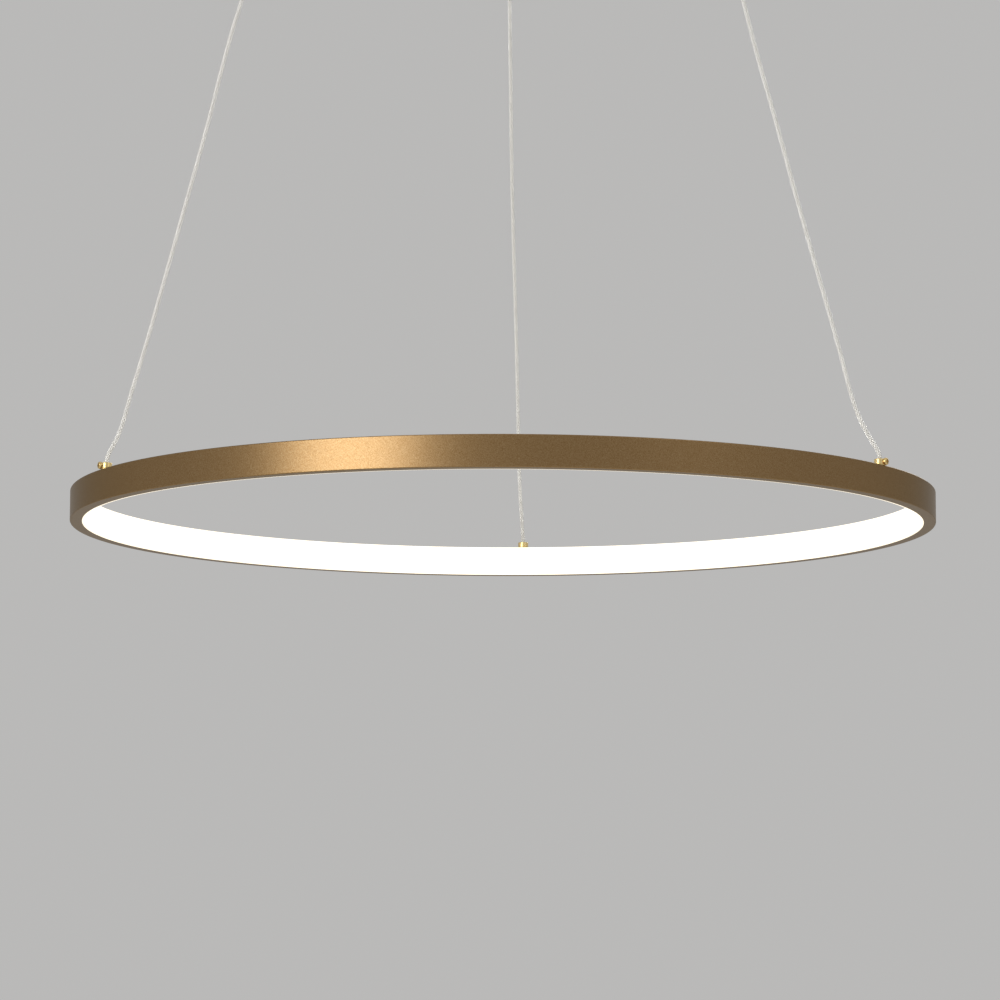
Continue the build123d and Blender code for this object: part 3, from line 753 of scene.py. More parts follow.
def spline_mesh(points: Sequence[Vector], thickness: float, side_steps: int = 2,
                along: int = 16) -> bpy.types.Mesh:
    """Give the mesh of a smooth spline: its line alone, or a round tube on it.

    Args:
        points: The spline's control points.
        thickness: The tube's diameter, or 0 for the line.
        side_steps: How round the tube is: 4 sides, and 2 more for each step.
        along: Steps along each part of the spline.

    Returns:
        The mesh.
    """
    curve = bpy.data.curves.new("spline", "CURVE")
    curve.dimensions = "3D"
    spline = curve.splines.new("NURBS")
    spline.points.add(len(points) - 1)
    for knot, point in zip(spline.points, points):
        knot.co = (*point, 1.0)
    spline.order_u = 3
    spline.use_endpoint_u = True
    spline.resolution_u = along
    return curve_mesh(curve, thickness, side_steps)


def curve_mesh(curve: bpy.types.Curve, thickness: float, side_steps: int) -> bpy.types.Mesh:
    """Turn a curve into a mesh and remove the curve.

    Args:
        curve: The curve.
        thickness: The tube's diameter, or 0 for the line.
        side_steps: How round the tube is.

    Returns:
        The mesh.
    """
    curve.bevel_depth = thickness / 2
    curve.bevel_resolution = side_steps
    curve.use_fill_caps = thickness > 0
    holder = bpy.data.objects.new("holder", curve)
    bpy.context.scene.collection.objects.link(holder)
    bpy.context.view_layer.update()
    found = holder.evaluated_get(bpy.context.evaluated_depsgraph_get())
    mesh = bpy.data.meshes.new_from_object(found)
    bpy.data.objects.remove(holder)
    bpy.data.curves.remove(curve)
    return mesh


def close_tube(mesh: bpy.types.Mesh) -> bpy.types.Mesh:
    """Weld a tube's caps to its wall.

    Args:
        mesh: The tube, with loose caps.

    Returns:
        The same mesh, closed.
    """
    bm = bmesh.new()
    bm.from_mesh(mesh)
    bmesh.ops.remove_doubles(bm, verts=bm.verts, dist=TUBE_WELD)
    bmesh.ops.recalc_face_normals(bm, faces=bm.faces)
    bm.to_mesh(mesh)
    bm.free()
    return mesh


@dataclass(frozen=True)
class Screw:
    """A screw on Z with its seat at 0, its shank below and a recess in its top."""

    shank: float
    length: float
    head: float
    head_height: float
    drive: Drive
    tip_share: float = 0.12
    rounding_share: float = 0.42
    slot_share: float = 0.16
    reach_share: float = 0.31
    depth_share: float = 0.5
    flat_share: float = 0.99
    steps: int = 40

    def on_top(self, face: bmesh.types.BMFace) -> bool:
        """Tell whether a face lies flat on the head's top."""
        height = face.calc_center_median().z
        return face.normal.z > self.flat_share and height > self.flat_share * self.head_height

    def turned(self) -> Work:
        """Turn the screw without its recess.

        Returns:
            The mesh, with one face over the head's top.
        """
        radius = self.head / 2
        outline = [
            Corner(ON_AXIS, self.head_height),
            Corner(radius, self.head_height, self.rounding_share * self.head_height),
            Corner(radius, 0.0),
        ]
        if self.head > self.shank:
            outline.append(Corner(self.shank / 2, 0.0))
        outline += [
            Corner(self.shank / 2, -self.length, self.tip_share * self.shank),
            Corner(ON_AXIS, -self.length),
        ]
        bm = lathe(outline, self.steps, round_steps=5)
        bmesh.ops.remove_doubles(bm, verts=bm.verts, dist=SCREW_WELD)
        bmesh.ops.dissolve_faces(bm, faces=[face for face in bm.faces if self.on_top(face)])
        return bm

    def mesh(self) -> Work:
        """Turn the screw and sink its recess.

        Returns:
            The mesh, closed.
        """
        bm = self.turned()
        half = self.slot_share * self.head / 2
        reach = self.reach_share * self.head
        for offset, axis, sign in product((half, reach), ("X", "Y"), (1, -1)):
            normal = Vector((1, 0, 0) if axis == "X" else (0, 1, 0))
            flat = [face for face in bm.faces if self.on_top(face)]
            geometry = list({v for f in flat for v in f.verts} | {e for f in flat for e in f.edges})
            bmesh.ops.bisect_plane(bm, geom=geometry + flat, dist=CUT_WELD,
                                   plane_co=normal * offset * sign, plane_no=normal)
        recess = []
        for face in filter(self.on_top, bm.faces):
            x, y = (abs(value) for value in face.calc_center_median().xy)
            across = x < half and y < reach and self.drive is Drive.CROSS
            if across or (y < half and x < reach):
                recess.append(face)
        sunk = bmesh.ops.extrude_face_region(bm, geom=recess)["geom"]
        lowered = [item for item in sunk if isinstance(item, bmesh.types.BMVert)]
        bmesh.ops.translate(bm, verts=lowered, vec=(0, 0, -self.depth_share * self.head_height))
        bmesh.ops.delete(bm, geom=[face for face in recess if face.is_valid], context="FACES_ONLY")
        bmesh.ops.recalc_face_normals(bm, faces=bm.faces)
        return bm


def drill(piece: Piece, places: Iterable[Matrix], diameter: float, depth: float,
          sides: int = 48) -> None:
    """Cut round holes right through a piece.

    Args:
        piece: The piece.
        places: Where each hole's middle lies, with the hole along local Z.
        diameter: The holes' diameter.
        depth: The cutter's length.
        sides: Sides round each hole.
    """
    cutters = []
    for place in places:
        bm = bmesh.new()
        bmesh.ops.create_cone(bm, cap_ends=True, segments=sides, radius1=diameter / 2,
                              radius2=diameter / 2, depth=depth)
        cutters.append(shaped(bm, place))
    cutter = as_piece(joined(cutters), "cutter", ZINC)
    cut = piece.modifiers.new("holes", "BOOLEAN")
    cut.operation = "DIFFERENCE"
    cut.solver = "EXACT"
    cut.object = cutter
    bpy.context.view_layer.update()
    found = piece.evaluated_get(bpy.context.evaluated_depsgraph_get())
    mesh = bpy.data.meshes.new_from_object(found)
    piece.modifiers.remove(cut)
    old = piece.data
    piece.data = mesh
    mesh.name = piece.name
    bpy.data.meshes.remove(old)
    bpy.data.objects.remove(cutter)


# ---- places
def on_ring(side: Side, radius: float, height: float) -> Matrix:
    """Give the place at a side's angle, a radius and a height, with local X pointing outward."""
    turn = Matrix.Rotation(math.radians(side.value), 4, "Z")
    return turn @ Matrix.Translation((radius, 0.0, height))


def facing_out(reach: float, height: float) -> Matrix:
    """Give the place that turns an upright piece outward along local X, at a height."""
    return Matrix.Translation((reach, 0.0, height)) @ Matrix.Rotation(QUARTER, 4, "Y")


def polar(angle: float, radius: float, height: float) -> Vector:
    """Give the point at an angle in degrees, a radius and a height."""
    turn = math.radians(angle)
    return Vector((radius * math.cos(turn), radius * math.sin(turn), height))


def middle_of(node: str) -> Vector:
    """Give the middle of a CAD node's box."""
    low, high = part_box(node)
    return (low + high) / 2


def dress(finishes: dict[str, Finish]) -> list[Piece]:
    """Give CAD nodes their finishes.

    Args:
        finishes: A finish for each node's name.

    Returns:
        The nodes' objects.
    """
    dressed = []
    for name, finish in finishes.items():
        node = bpy.data.objects[name]
        node.data.materials.clear()
        node.data.materials.append(finish.material())
        dressed.append(node)
    return dressed


def settle(piece: Piece, body: Body, slot: str, *nodes: str) -> Piece:
    """Make a piece ride its body and stand for CAD nodes.

    Args:
        piece: The piece.
        body: The body it rides on.
        slot: The record's material slot; not used.
        nodes: The CAD nodes it stands for.

    Returns:
        The piece.
    """
    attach(piece, body.value)
    if nodes:
        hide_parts(*nodes)
    return piece


# ---- the ring
@dataclass
class RingBody:
    """The painted channel, its opal lens and the light source inside."""

    outer_radius: float = 300.0 * MM
    mouth_radius: float = 291.6 * MM
    wall: float = 1.0 * MM
    flange: float = 1.2 * MM
    edge: float = 0.65 * MM
    bead_width: float = 0.5 * MM
    bead_height: float = 0.3 * MM
    lens_cap: float = 1.6 * MM
    lens_edge: float = 0.6 * MM
    lens_leg_radius: float = 292.9 * MM
    lens_leg: float = 0.7 * MM
    lens_gap: float = 0.1 * MM
    strip_thickness: float = 0.5 * MM
    strip_width: float = 10.0 * MM
    strip_gap_angle: float = 30.0
    strip_gap: float = 6.0 * MM
    stem_hole: float = 4.6 * MM
    chips: int = 90
    steps: int = 300

    def __post_init__(self) -> None:
        """Take the ring's level and height from the frame."""
        low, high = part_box("ring_channel")
        self.top = high.z
        self.middle = (low.z + high.z) / 2
        self.half = (high.z - low.z) / 2

    def mirrored(self, upper: Sequence[Corner]) -> list[Corner]:
        """Close an outline with its mirror image below the ring's middle."""
        lower = [Corner(c.radius, 2 * self.middle - c.height, c.rounding) for c in reversed(upper)]
        return list(upper) + lower

    def channel(self) -> Piece:
        """Turn the channel with its eased edges, flanges and snap beads, and drill its flange.

        Returns:
            The channel.
        """
        inner = self.outer_radius - self.wall
        inside = self.top - self.flange
        bead = inside - self.bead_height
        bead_end = self.mouth_radius + self.bead_width
        outline = self.mirrored([
            Corner(inner, inside), Corner(bead_end, inside), Corner(bead_end, bead),
            Corner(self.mouth_radius, bead), Corner(self.mouth_radius, self.top),
            Corner(self.outer_radius, self.top, self.edge),
        ])
        piece = as_piece(lathe(outline, self.steps, round_steps=4), "painted_channel", GOLD)
        radius = middle_of("cord_collar_rear").y
        stems = [on_ring(side, radius, self.top) for side in Side]
        drill(piece, stems, self.stem_hole, 4 * self.flange)
        weigh_normals(piece)
        return settle(piece, Body.RING, "satin_gold", "ring_channel")

    def lens(self) -> Piece:
        """Turn the lens: a cap over the full height and two barbed legs behind the beads.

        Returns:
            The lens.
        """
        barb = self.top - self.flange - self.lens_gap
        neck = barb - self.bead_height
        barb_start = self.mouth_radius + self.bead_width + self.lens_gap
        low = neck - self.lens_leg
        face = self.mouth_radius - self.lens_cap
        outline = self.mirrored([
            Corner(self.mouth_radius, low), Corner(self.lens_leg_radius, low),
            Corner(self.lens_leg_radius, barb), Corner(barb_start, barb), Corner(barb_start, neck),
            Corner(self.mouth_radius, neck), Corner(self.mouth_radius, self.top),
            Corner(face, self.top, self.lens_edge),
        ])
        glow = OpalGlow("lit_opal", self.middle, self.half, self.chips)
        piece = as_piece(lathe(outline, self.steps, round_steps=4), "opal_lens", glow)
        weigh_normals(piece)
        return settle(piece, Body.RING, "opal_lens", "ring_lens")

    def strip(self) -> Piece:
        """Bend the light strip round the wall, open at its gap.

        Returns:
            The strip.
        """
        outer = self.outer_radius - self.wall
        inner = outer - self.strip_thickness
        low, high = self.middle - self.strip_width / 2, self.middle + self.strip_width / 2
        gap = self.strip_gap / outer
        start = math.radians(self.strip_gap_angle) + gap / 2
        outline = [Corner(inner, low), Corner(outer, low), Corner(outer, high), Corner(inner, high)]
        piece = as_piece(lathe(outline, self.steps, start, math.tau - gap), "light_strip", MASK)
        return settle(piece, Body.RING, "strip_board", "led_strip")

    def build(self) -> list[Piece]:
        """Build the ring's turned pieces, and dress what keeps its own shape."""
        kept = dress({"led_chips": PHOSPHOR, "solder_joints": SOLDER, "collar_nuts": BRASS})
        return [self.channel(), self.lens(), self.strip(), *kept]


@dataclass
class CordAnchor:
    """A brass collar on the ring, with the cross-head screw that holds its cord."""

    side: Side
    diameter: float = 7.6 * MM
    height: float = 4.4 * MM
    edge: float = 0.45 * MM
    foot_edge: float = 0.12 * MM
    groove: float = 0.22 * MM
    groove_height: float = 0.75 * MM
    bore: float = 3.2 * MM
    bore_edge: float = 0.2 * MM
    stem: float = 4.4 * MM
    stem_edge: float = 0.15 * MM
    stem_length: float = 3.6 * MM
    screw: Screw = Screw(2.5 * MM, 2.27 * MM, 4.8 * MM, 1.9 * MM, Drive.CROSS)
    screw_height: float = 2.5 * MM

    def __post_init__(self) -> None:
        """Find the collar's place in the frame."""
        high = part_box(f"cord_collar_{self.side.label}")[1]
        radius = middle_of(f"cord_collar_{self.side.label}").xy.length
        place = on_ring(self.side, radius, high.z - self.height)
        self.place = place
        self.screw_place = place @ facing_out(self.diameter / 2, self.screw_height)

    def collar(self) -> Piece:
        """Turn the collar, with a fine groove near its foot, and drill it for the screw.

        Returns:
            The collar.
        """
        bore, stem, radius = self.bore / 2, self.stem / 2, self.diameter / 2
        outline = [
            Corner(bore, -self.stem_length), Corner(stem, -self.stem_length, self.stem_edge),
            Corner(stem, 0.0), Corner(radius, 0.0, self.foot_edge),
            Corner(radius, self.groove_height - self.groove / 2),
            Corner(radius - self.groove, self.groove_height),
            Corner(radius, self.groove_height + self.groove / 2),
            Corner(radius, self.height, self.edge), Corner(bore, self.height, self.bore_edge),
        ]
        turned = shaped(lathe(outline, steps=64), self.place)
        piece = as_piece(turned, f"brass_collar_{self.side.label}", BRASS)
        drill(piece, [self.screw_place], self.screw.shank, self.diameter)
        weigh_normals(piece)
        return settle(piece, Body.RING, "brass", f"cord_collar_{self.side.label}")

    def placed_screw(self) -> Work:
        """Make the collar's screw in its place."""
        return shaped(self.screw.mesh(), self.screw_place)


# ---- the cords
# Millimetres from a collar's mouth: inward, across (counter-clockwise) and up
ROUTES: dict[Side, list[Point]] = {
    Side.REAR: [
        (0.0, 0.2, 5.2), (2.7, 0.6, 11.3), (9.4, 1.0, 22.5), (14.9, 1.7, 36.0), (22.0, 2.3, 58.0),
        (31.5, 2.5, 90.0), (44.6, 2.9, 133.0), (58.8, 3.7, 184.0), (73.6, 4.7, 235.0),
        (87.8, 5.2, 285.0), (102.4, 5.0, 335.0), (117.4, 5.2, 389.0), (132.6, 4.8, 443.0),
        (147.4, 3.9, 496.0), (161.4, 2.8, 547.0), (174.1, 1.6, 594.0),
    ],
    Side.LEFT: [
        (0.6, 0.0, 5.4), (4.8, 0.0, 12.0), (10.8, 0.0, 25.0), (15.5, 0.0, 43.5), (26.5, 0.0, 79.0),
        (41.0, 0.0, 131.0), (55.9, 0.0, 185.0), (70.7, 0.0, 239.0), (83.4, 0.0, 291.0),
        (95.2, 0.0, 330.0), (111.7, 0.0, 383.0), (128.3, 0.0, 437.0), (144.2, 0.0, 490.0),
        (159.4, 0.0, 543.0), (172.8, 0.0, 592.0),
    ],
    Side.RIGHT: [
        (0.5, 0.0, 4.6), (3.9, 0.0, 9.6), (10.2, 0.0, 19.5), (14.6, 0.0, 27.5), (20.8, 0.0, 43.5),
        (29.7, 0.0, 77.0), (44.4, 0.0, 126.0), (60.3, 0.0, 179.0), (74.6, 0.0, 230.0),
        (90.1, 0.0, 281.0), (101.9, 0.0, 325.0), (116.2, 0.0, 378.0), (130.7, 0.0, 432.0),
        (144.9, 0.0, 486.0), (159.0, 0.0, 539.0), (172.7, 0.0, 590.0),
    ],
}
# The last points of every route, from the grip's mouth: outward and down
GRIP_APPROACH: list[tuple[float, float]] = [(11.0, 51.0), (4.2, 28.0), (1.0, 15.5), (0.0, 7.5)]


@dataclass
class SuspensionCord:
    """A clear jacket over a plain-woven braid of silver wires, laid in pairs round a filler."""

    side: Side
    length: float = 713.7 * MM
    diameter: float = 3.0 * MM
    braid_radius: float = 1.12 * MM
    wire: float = 0.33 * MM
    weave: float = 0.14 * MM
    filler: float = 1.85 * MM
    pitch: float = 9.6 * MM
    bundles_each_way: int = 4
    wires_per_bundle: int = 2
    wire_spacing: float = 0.44 * MM
    stations_per_crossing: int = 2
    collar_radius: float = 296.0 * MM
    collar_top: float = -731.5 * MM
    grip_radius: float = 100.0 * MM
    grip_face: float = -46.5 * MM

    def control_points(self) -> list[Vector]:
        """Lay the route's points from the collar's mouth up to the grip's.

        Returns:
            The points.
        """
        out = polar(self.side.value, 1.0, 0.0)
        across = polar(self.side.value + 90, 1.0, 0.0)
        foot = polar(self.side.value, self.collar_radius, self.collar_top)
        mouth = polar(self.side.value, self.grip_radius, self.grip_face)
        points = [foot]
        for inward, sideways, rise in ROUTES[self.side]:
            points.append(foot + (across * sideways - out * inward + Vector((0, 0, rise))) * MM)
        for outward, down in GRIP_APPROACH:
            points.append(mouth + (out * outward - Vector((0, 0, down))) * MM)
        return points + [mouth]

    def centre_line(self) -> list[Vector]:
        """Read the points of the route's smooth spline.

        Returns:
            The points in order.
        """
        mesh = spline_mesh(self.control_points(), 0.0)
        points = [vertex.co.copy() for vertex in mesh.vertices]
        bpy.data.meshes.remove(mesh)
        return points

    def stations(self, line: Sequence[Vector], step: float) -> list[tuple[Vector, Vector, Vector]]:
        """Walk the line in even steps with a frame that doesn't twist.

        Args:
            line: The centre line.
            step: The length of a step.

        Returns:
            Each station's middle and its two side directions.
        """
        reach = [0.0]
        for before, after in zip(line, line[1:]):
            reach.append(reach[-1] + (after - before).length)
        found = []
        normal = polar(self.side.value, 1.0, 0.0)
        place = 0
        for k in range(int(reach[-1] / step) + 1):
            goal = k * step
            while place < len(line) - 2 and reach[place + 1] < goal:
                place += 1
            here, after = line[place], line[place + 1]
            share = (goal - reach[place]) / (reach[place + 1] - reach[place])
            along = (after - here).normalized()
            normal = (normal - along * normal.dot(along)).normalized()
            found.append((here.lerp(after, share), normal.copy(), along.cross(normal)))
        return found

    def braid(self, line: Sequence[Vector]) -> bpy.types.Mesh:
        """Weave the wires: at each crossing one set lies over the other, and then under it.

        Args:
            line: The centre line.

        Returns:
            The braid's mesh.
        """
        step = self.pitch / (2 * self.bundles_each_way * self.stations_per_crossing)
        stations = self.stations(line, step)
        curve = bpy.data.curves.new("braid", "CURVE")
        curve.dimensions = "3D"
        bundles, lanes = range(self.bundles_each_way), range(self.wires_per_bundle)
        for turn, bundle, lane in product((1, -1), bundles, lanes):
            lane_offset = (lane - (self.wires_per_bundle - 1) / 2) * self.wire_spacing
            start = math.tau * bundle / self.bundles_each_way + lane_offset / self.braid_radius
            spline = curve.splines.new("POLY")
            spline.points.add(len(stations) - 1)
            for k, (middle, normal, side) in enumerate(stations):
                angle = start + turn * math.tau * k * step / self.pitch
                rise = turn * math.cos(math.pi * k / self.stations_per_crossing)
                outward = normal * math.cos(angle) + side * math.sin(angle)
                spot = middle + outward * (self.braid_radius + rise * self.weave)
                spline.points[k].co = (*spot, 1.0)
        return curve_mesh(curve, self.wire, side_steps=0)

    def build(self) -> list[Piece]:
        """Returns:
            The three pieces, which stretch between the canopy and the ring.
        """
        label = self.side.label
        line = self.centre_line()
        points = self.control_points()
        tube = close_tube(spline_mesh(points, self.diameter, side_steps=5))
        jacket = as_piece(tube, f"clear_jacket_{label}", JACKET)
        braid = as_piece(close_tube(self.braid(line)), f"silver_braid_{label}", TINNED)
        core = close_tube(spline_mesh(points, self.filler, side_steps=3))
        filler = as_piece(core, f"braid_filler_{label}", FILLER)
        for piece in (jacket, braid, filler):
            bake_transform(piece)
        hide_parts(f"cord_{label}")
        return [jacket, braid, filler]


@dataclass
class CordEnd:
    """A short straight end of a cord, inside a collar or a grip."""

    node: str
    body: Body
    side: Side
    diameter: float = 3.0 * MM
    core: float = 2.4 * MM
    inset: float = 0.05 * MM

    def build(self) -> list[Piece]:
        """Turn the jacket and the core that shows at its cut face.

        Returns:
            The two pieces.
        """
        low, high = (corner.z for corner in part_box(self.node))
        place = on_ring(self.side, middle_of(self.node).xy.length, 0.0)
        outer, inner = self.diameter / 2, self.core / 2
        sleeve = [Corner(inner, low), Corner(outer, low), Corner(outer, high), Corner(inner, high)]
        reach = inner - self.inset
        foot, top = low + self.inset, high - self.inset
        core = [Corner(ON_AXIS, foot), Corner(reach, foot), Corner(reach, top), Corner(ON_AXIS, top)]
        jacket = as_piece(shaped(lathe(sleeve, steps=32), place), f"jacket_of_{self.node}", JACKET)
        wires = as_piece(shaped(lathe(core, steps=24), place), f"core_of_{self.node}", TINNED)
        settle(jacket, self.body, "clear_cord", self.node)
        settle(wires, self.body, "clear_cord")
        return [jacket, wires]


# ---- the canopy
@dataclass
class Canopy:
    """The drawn cup and the screws that hold it to its bracket."""

    radius: float = 120.0 * MM
    wall: float = 1.2 * MM
    corner: float = 6.0 * MM
    rim: float = 0.45 * MM
    steps: int = 180
    grip_radius: float = 100.0 * MM
    grip_hole: float = 8.2 * MM
    screw: Screw = Screw(4.0 * MM, 8.0 * MM, 7.5 * MM, 2.4 * MM, Drive.CROSS)
    screw_hole: float = 4.2 * MM
    screw_depth: float = 9.0 * MM

    def cup(self) -> Piece:
        """Turn the cup with its rounded corner and rim, and drill it for grips and screws.

        Returns:
            The cup.
        """
        foot, top = (corner.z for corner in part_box("canopy_cup"))
        inner = self.radius - self.wall
        floor = foot + self.wall
        outline = [
            Corner(ON_AXIS, foot), Corner(self.radius, foot, self.corner),
            Corner(self.radius, top, self.rim), Corner(inner, top, self.rim),
            Corner(inner, floor, self.corner - self.wall), Corner(ON_AXIS, floor),
        ]
        piece = as_piece(lathe(outline, self.steps, round_steps=8), "canopy_cup_painted", GOLD)
        grips = [on_ring(side, self.grip_radius, foot) for side in Side]
        drill(piece, grips, self.grip_hole, 4 * self.wall)
        drill(piece, [facing_out(0.0, -self.screw_depth)], self.screw_hole, 2.2 * self.radius)
        weigh_normals(piece)
        return settle(piece, Body.CANOPY, "satin_gold", "canopy_cup")

    def screws(self) -> Piece:
        """Make the two side screws.

        Returns:
            The screws as one piece.
        """
        outward = facing_out(self.radius, -self.screw_depth)
        turns = [Matrix.Rotation(turn, 4, "Z") for turn in (0.0, math.pi)]
        placed = [shaped(self.screw.mesh(), turn @ outward) for turn in turns]
        piece = as_piece(joined(placed), "canopy_side_screws", ZINC)
        return settle(piece, Body.CANOPY, "zinc_steel", "canopy_screws")

    def build(self) -> list[Piece]:
        """Build the cup and its screws, and dress the bracket."""
        return [self.cup(), self.screws(), *dress({"ceiling_bracket": ZINC})]


@dataclass
class CordGrip:
    """A brass grip under the canopy's floor, with a slotted grub screw flush with its side."""

    side: Side
    diameter: float = 12.0 * MM
    body_length: float = 12.0 * MM
    shoulder_edge: float = 0.8 * MM
    nose: float = 7.0 * MM
    nose_edge: float = 0.4 * MM
    nose_length: float = 3.0 * MM
    groove: float = 0.3 * MM
    groove_below_top: float = 1.6 * MM
    bore: float = 3.2 * MM
    bore_edge: float = 0.2 * MM
    stem: float = 8.0 * MM
    stem_length: float = 6.7 * MM
    top_edge: float = 0.3 * MM
    screw: Screw = Screw(2.5 * MM, 3.67 * MM, 2.5 * MM, 0.8 * MM, Drive.SLOT)
    screw_inset: float = 0.05 * MM
    screw_height: float = 7.0 * MM

    def __post_init__(self) -> None:
        """Find the grip's place in the frame."""
        node = f"cord_grip_{self.side.label}"
        self.place = on_ring(self.side, middle_of(node).xy.length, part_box(node)[0].z)

    def grip(self) -> Piece:
        """Turn the grip, with a groove near its top, and drill it for its screw.

        Returns:
            The grip.
        """
        bore, nose, radius, stem = self.bore / 2, self.nose / 2, self.diameter / 2, self.stem / 2
        top = self.body_length + self.stem_length
        groove = self.body_length - self.groove_below_top
        outline = [
            Corner(bore, 0.0, self.bore_edge), Corner(nose, 0.0, self.nose_edge),
            Corner(radius, self.nose_length, self.shoulder_edge),
            Corner(radius, groove - self.groove), Corner(radius - self.groove, groove),
            Corner(radius, groove + self.groove), Corner(radius, self.body_length, self.top_edge),
            Corner(stem, self.body_length), Corner(stem, top, self.top_edge), Corner(bore, top),
        ]
        turned = shaped(lathe(outline, steps=64), self.place)
        piece = as_piece(turned, f"brass_grip_{self.side.label}", BRASS)
        hole = self.place @ facing_out(radius, self.screw_height)
        drill(piece, [hole], self.screw.shank, self.diameter)
        weigh_normals(piece)
        return settle(piece, Body.CANOPY, "brass", f"cord_grip_{self.side.label}")

    def placed_screw(self) -> Work:
        """Make the grip's grub screw in its place."""
        reach = self.diameter / 2 - self.screw.head_height - self.screw_inset
        return shaped(self.screw.mesh(), self.place @ facing_out(reach, self.screw_height))


@dataclass
class Electrics:
    """The driver, the terminals and the earth point inside the canopy."""

    core_reach: float = 5.0 * MM

    def build(self) -> list[Piece]:
        """Dress the boxes and small parts that keep their own shapes.

        Returns:
            The parts.
        """
        tape = Banded("ferrite_and_tape", middle_of("driver_transformer").y, self.core_reach,
                      tone(56, 56, 58), tone(222, 190, 60))
        return dress({
            "driver_transformer": tape, "driver_capacitors": SLEEVE, "driver_case": CASE,
            "driver_lid": CASE, "driver_board": BOARD, "driver_pad": FOAM,
            "terminal_block": NYLON, "terminal_clamps": BRASS, "grip_nuts": BRASS,
            "terminal_screws": ZINC, "terminal_block_screw": ZINC, "earth_screw": ZINC,
            "earth_tag": ZINC,
        })


@dataclass
class Wiring:
    """The insulated leads, with their routes in millimetres."""

    lead: float = 1.6 * MM
    strip_lead: float = 1.2 * MM

    def mains(self, pole_x: float, bend_x: float, port_y: float) -> list[Point]:
        """Route a lead from a terminal to a port in the driver's end.

        Args:
            pole_x: Where the terminal lies along X.
            bend_x: Where the lead bends towards the port along X.
            port_y: Where the port lies along Y.

        Returns:
            The route.
        """
        return [(pole_x, 1.0, -8.0), (pole_x, 18.0, -8.0), (bend_x, port_y - 3.0, -20.3),
                (-57.2, port_y, -22.3), (-46.2, port_y, -22.3)]

    def output(self, sign: int, port_x: float) -> list[Point]:
        """Route a lead from a cord's head to a port in the driver's front.

        Args:
            sign: -1 for the left cord and 1 for the right one.
            port_x: Where the port lies along X.

        Returns:
            The route.
        """
        return [(86.6 * sign, -50.0, -25.8), (86.6 * sign, -50.0, -20.8),
                (82.6 * sign, -44.0, -15.8), (56.6 * sign, -16.0, -16.8),
                (port_x, 12.8, -22.3), (port_x, 26.8, -22.3)]

    def strip(self, side: Side) -> list[Point]:
        """Route a lead from a cord's end, down and along the channel to the strip.

        Args:
            side: The cord's side.

        Returns:
            The route.
        """
        turns = [(0.0, 296.0, -739.5), (0.0, 296.0, -745.5), (1.4, 296.2, -750.2),
                 (4.0, 297.88, -750.2)]
        return [polar(side.value + turn, radius, height)[:] for turn, radius, height in turns]

    def sweep(self, node: str, body: Body, slot: str, finish: Finish,
              route: Iterable[Point]) -> Piece:
        """Sweep a lead along its route.

        Args:
            node: The CAD node it stands for.
            body: The body it rides on.
            slot: The record's material slot.
            finish: Its insulation.
            route: The route.

        Returns:
            The lead.
        """
        thickness = self.strip_lead if body is Body.RING else self.lead
        points = [Vector(point) * MM for point in route]
        tube = close_tube(spline_mesh(points, thickness, side_steps=3, along=10))
        return settle(as_piece(tube, f"{node}_insulation", finish), body, slot, node)

    def build(self) -> list[Piece]:
        """Sweep every lead.

        Returns:
            The leads.
        """
        earth = [(-63.5, 1.0, -8.0), (-63.5, 17.0, -8.0), (-41.5, 26.5, -3.5), (-23.8, 8.8, -3.5)]
        leads = [
            ("mains_lead_live", Body.CANOPY, "brown_lead", BROWN, self.mains(-82.5, -68.3, 47.0)),
            ("mains_lead_neutral", Body.CANOPY, "blue_lead", BLUE, self.mains(-73.0, -63.6, 39.0)),
            ("earth_lead", Body.CANOPY, "green_yellow_lead", EARTH, earth),
            ("output_lead_left", Body.CANOPY, "black_lead", BLACK, self.output(-1, -22.0)),
            ("output_lead_right", Body.CANOPY, "red_lead", RED, self.output(1, 38.0)),
            ("strip_lead_left", Body.RING, "black_lead", BLACK, self.strip(Side.LEFT)),
            ("strip_lead_right", Body.RING, "red_lead", RED, self.strip(Side.RIGHT)),
        ]
        return [self.sweep(*lead) for lead in leads]


# ---- the studio
@dataclass
class Lamp:
    """A soft rectangular lamp that points at the ring."""

    name: str
    place: Point
    width: float
    height: float
    power: float

    def build(self, target: Vector) -> None:
        """Add the lamp.

        Args:
            target: The point it faces.
        """
        data = bpy.data.lights.new(self.name, "AREA")
        data.shape = "RECTANGLE"
        data.size = self.width
        data.size_y = self.height
        data.energy = self.power
        lamp = bpy.data.objects.new(self.name, data)
        bpy.context.scene.collection.objects.link(lamp)
        lamp.location = self.place
        lamp.rotation_euler = (target - Vector(self.place)).to_track_quat("-Z", "Y").to_euler()
        lamp.visible_camera = False


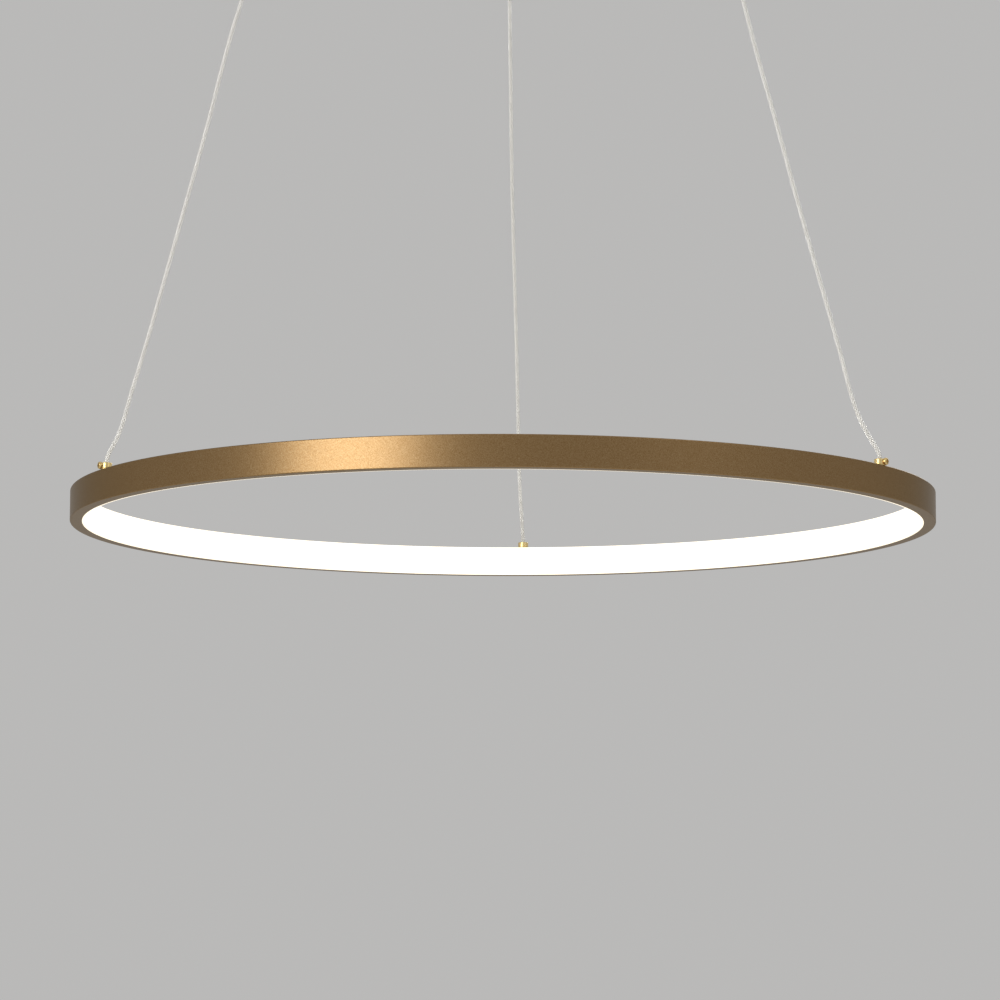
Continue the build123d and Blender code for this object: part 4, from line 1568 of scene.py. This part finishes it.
@dataclass
class Studio:
    """A pale floor and world, soft lamps, and the camera at the photograph's place.

    The camera was fitted to the photograph. Its turn round the lamp is in degrees, and its small
    pitch, yaw and roll are in radians.
    """

    ring_middle: float = -746.4 * MM
    distance: float = 2.882
    below_ring: float = 0.3747
    turn: float = 3.027
    pitch: float = 0.1322
    yaw: float = 0.0007
    roll: float = 0.0025
    focal_pixels: float = 4172.7
    image_pixels: float = 1000.0
    sensor: float = 36.0
    farthest: float = 60.0
    floor_z: float = -3.4
    floor_radius: float = 14.0
    backdrop: Colour = (0.49, 0.486, 0.48, 1.0)
    ambient: Colour = (0.70, 0.695, 0.685, 1.0)
    lamps: list[Lamp] = field(default_factory=lambda: [
        Lamp("key", (-1.56, -2.27, -0.25), 1.35, 1.5, 33.0),
        Lamp("fill", (2.5, -1.8, 1.0), 1.4, 1.4, 10.0),
        Lamp("top", (-0.2, -0.3, 1.9), 2.2, 2.2, 9.0),
        Lamp("back", (1.2, 2.6, 0.6), 1.6, 1.0, 16.0),
    ])

    def floor(self) -> None:
        """Lay the round floor."""
        bm = bmesh.new()
        bmesh.ops.create_circle(bm, cap_ends=True, segments=96, radius=self.floor_radius)
        bmesh.ops.translate(bm, verts=bm.verts, vec=(0, 0, self.floor_z))
        floor = as_piece(bm, "floor", PAPER)

    def world(self) -> None:
        """Light everything evenly, and show the backdrop to the camera, to metal and to glass."""
        world = bpy.data.worlds.new("pale_world")
        world.use_nodes = True
        nodes = Nodes(world.node_tree)
        rays = nodes.add("ShaderNodeLightPath").outputs
        seen = rays["Is Camera Ray"]
        for ray in ("Is Glossy Ray", "Is Transmission Ray"):
            seen = nodes.math("MAXIMUM", seen, rays[ray])
        background = nodes.tree.nodes["Background"].inputs
        nodes.join(nodes.mixed(seen, self.ambient, self.backdrop), background["Color"])
        background["Strength"].default_value = 1.0
        bpy.context.scene.world = world

    def camera(self) -> None:
        """Set the camera, which looks slightly up at the ring."""
        turn = math.radians(self.turn)
        heading = turn + self.yaw
        level = Vector((-math.sin(heading), math.cos(heading), 0.0))
        forward = level * math.cos(self.pitch) + Vector((0.0, 0.0, math.sin(self.pitch)))
        side = Vector((math.cos(heading), math.sin(heading), 0.0))
        upright = side.cross(forward)
        right = side * math.cos(self.roll) + upright * math.sin(self.roll)
        up = upright * math.cos(self.roll) - side * math.sin(self.roll)
        data = bpy.data.cameras.new("camera")
        data.sensor_width = self.sensor
        data.lens = self.focal_pixels / self.image_pixels * self.sensor
        data.clip_end = self.farthest
        camera = bpy.data.objects.new("camera", data)
        bpy.context.scene.collection.objects.link(camera)
        spot = Vector((math.sin(turn) * self.distance, -math.cos(turn) * self.distance,
                       self.ring_middle - self.below_ring))
        axes = Matrix((right, up, -forward)).transposed().to_4x4()
        camera.matrix_world = Matrix.Translation(spot) @ axes
        bpy.context.scene.camera = camera

    def build(self) -> None:
        """Set up the whole studio."""
        self.floor()
        self.world()
        for lamp in self.lamps:
            lamp.build(Vector((0.0, 0.0, self.ring_middle)))
        self.camera()
        bpy.context.scene.view_settings.view_transform = "Standard"


# ---- the pendant
def report(pieces: Iterable[Piece]) -> None:
    """Log each piece with its number of faces."""
    for piece in pieces:
        LOG.info("%s: %d faces", piece.name, len(piece.data.polygons))


def set_screws(holders: Iterable[CordAnchor | CordGrip], name: str, finish: Finish, body: Body,
               node: str) -> list[Piece]:
    """Put the screws of all collars or grips into one piece.

    Args:
        holders: The collars or grips.
        name: The piece's name.
        finish: The plating.
        body: The body it rides on.
        node: The CAD node it stands for.

    Returns:
        The piece, in a list.
    """
    screws = joined([holder.placed_screw() for holder in holders])
    return [settle(as_piece(screws, name, finish), body, "zinc_steel", node)]


def main() -> None:
    """Build the studio, the cords and the lamp round its frame."""
    logging.basicConfig(level=logging.INFO)
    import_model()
    Studio().build()
    for side in Side:
        report(SuspensionCord(side).build())
    report(RingBody().build())
    anchors = [CordAnchor(side) for side in Side]
    report(anchor.collar() for anchor in anchors)
    report(set_screws(anchors, "collar_cross_screws", PLATED, Body.RING, "collar_screws"))
    report(Canopy().build())
    grips = [CordGrip(side) for side in Side]
    report(grip.grip() for grip in grips)
    report(set_screws(grips, "grip_grub_screws", ZINC, Body.CANOPY, "grip_screws"))
    report(Electrics().build())
    for side in Side:
        report(CordEnd(f"cord_tail_{side.label}", Body.RING, side).build())
        report(CordEnd(f"cord_head_{side.label}", Body.CANOPY, side).build())
    report(Wiring().build())


if __name__ == "__main__":
    main()
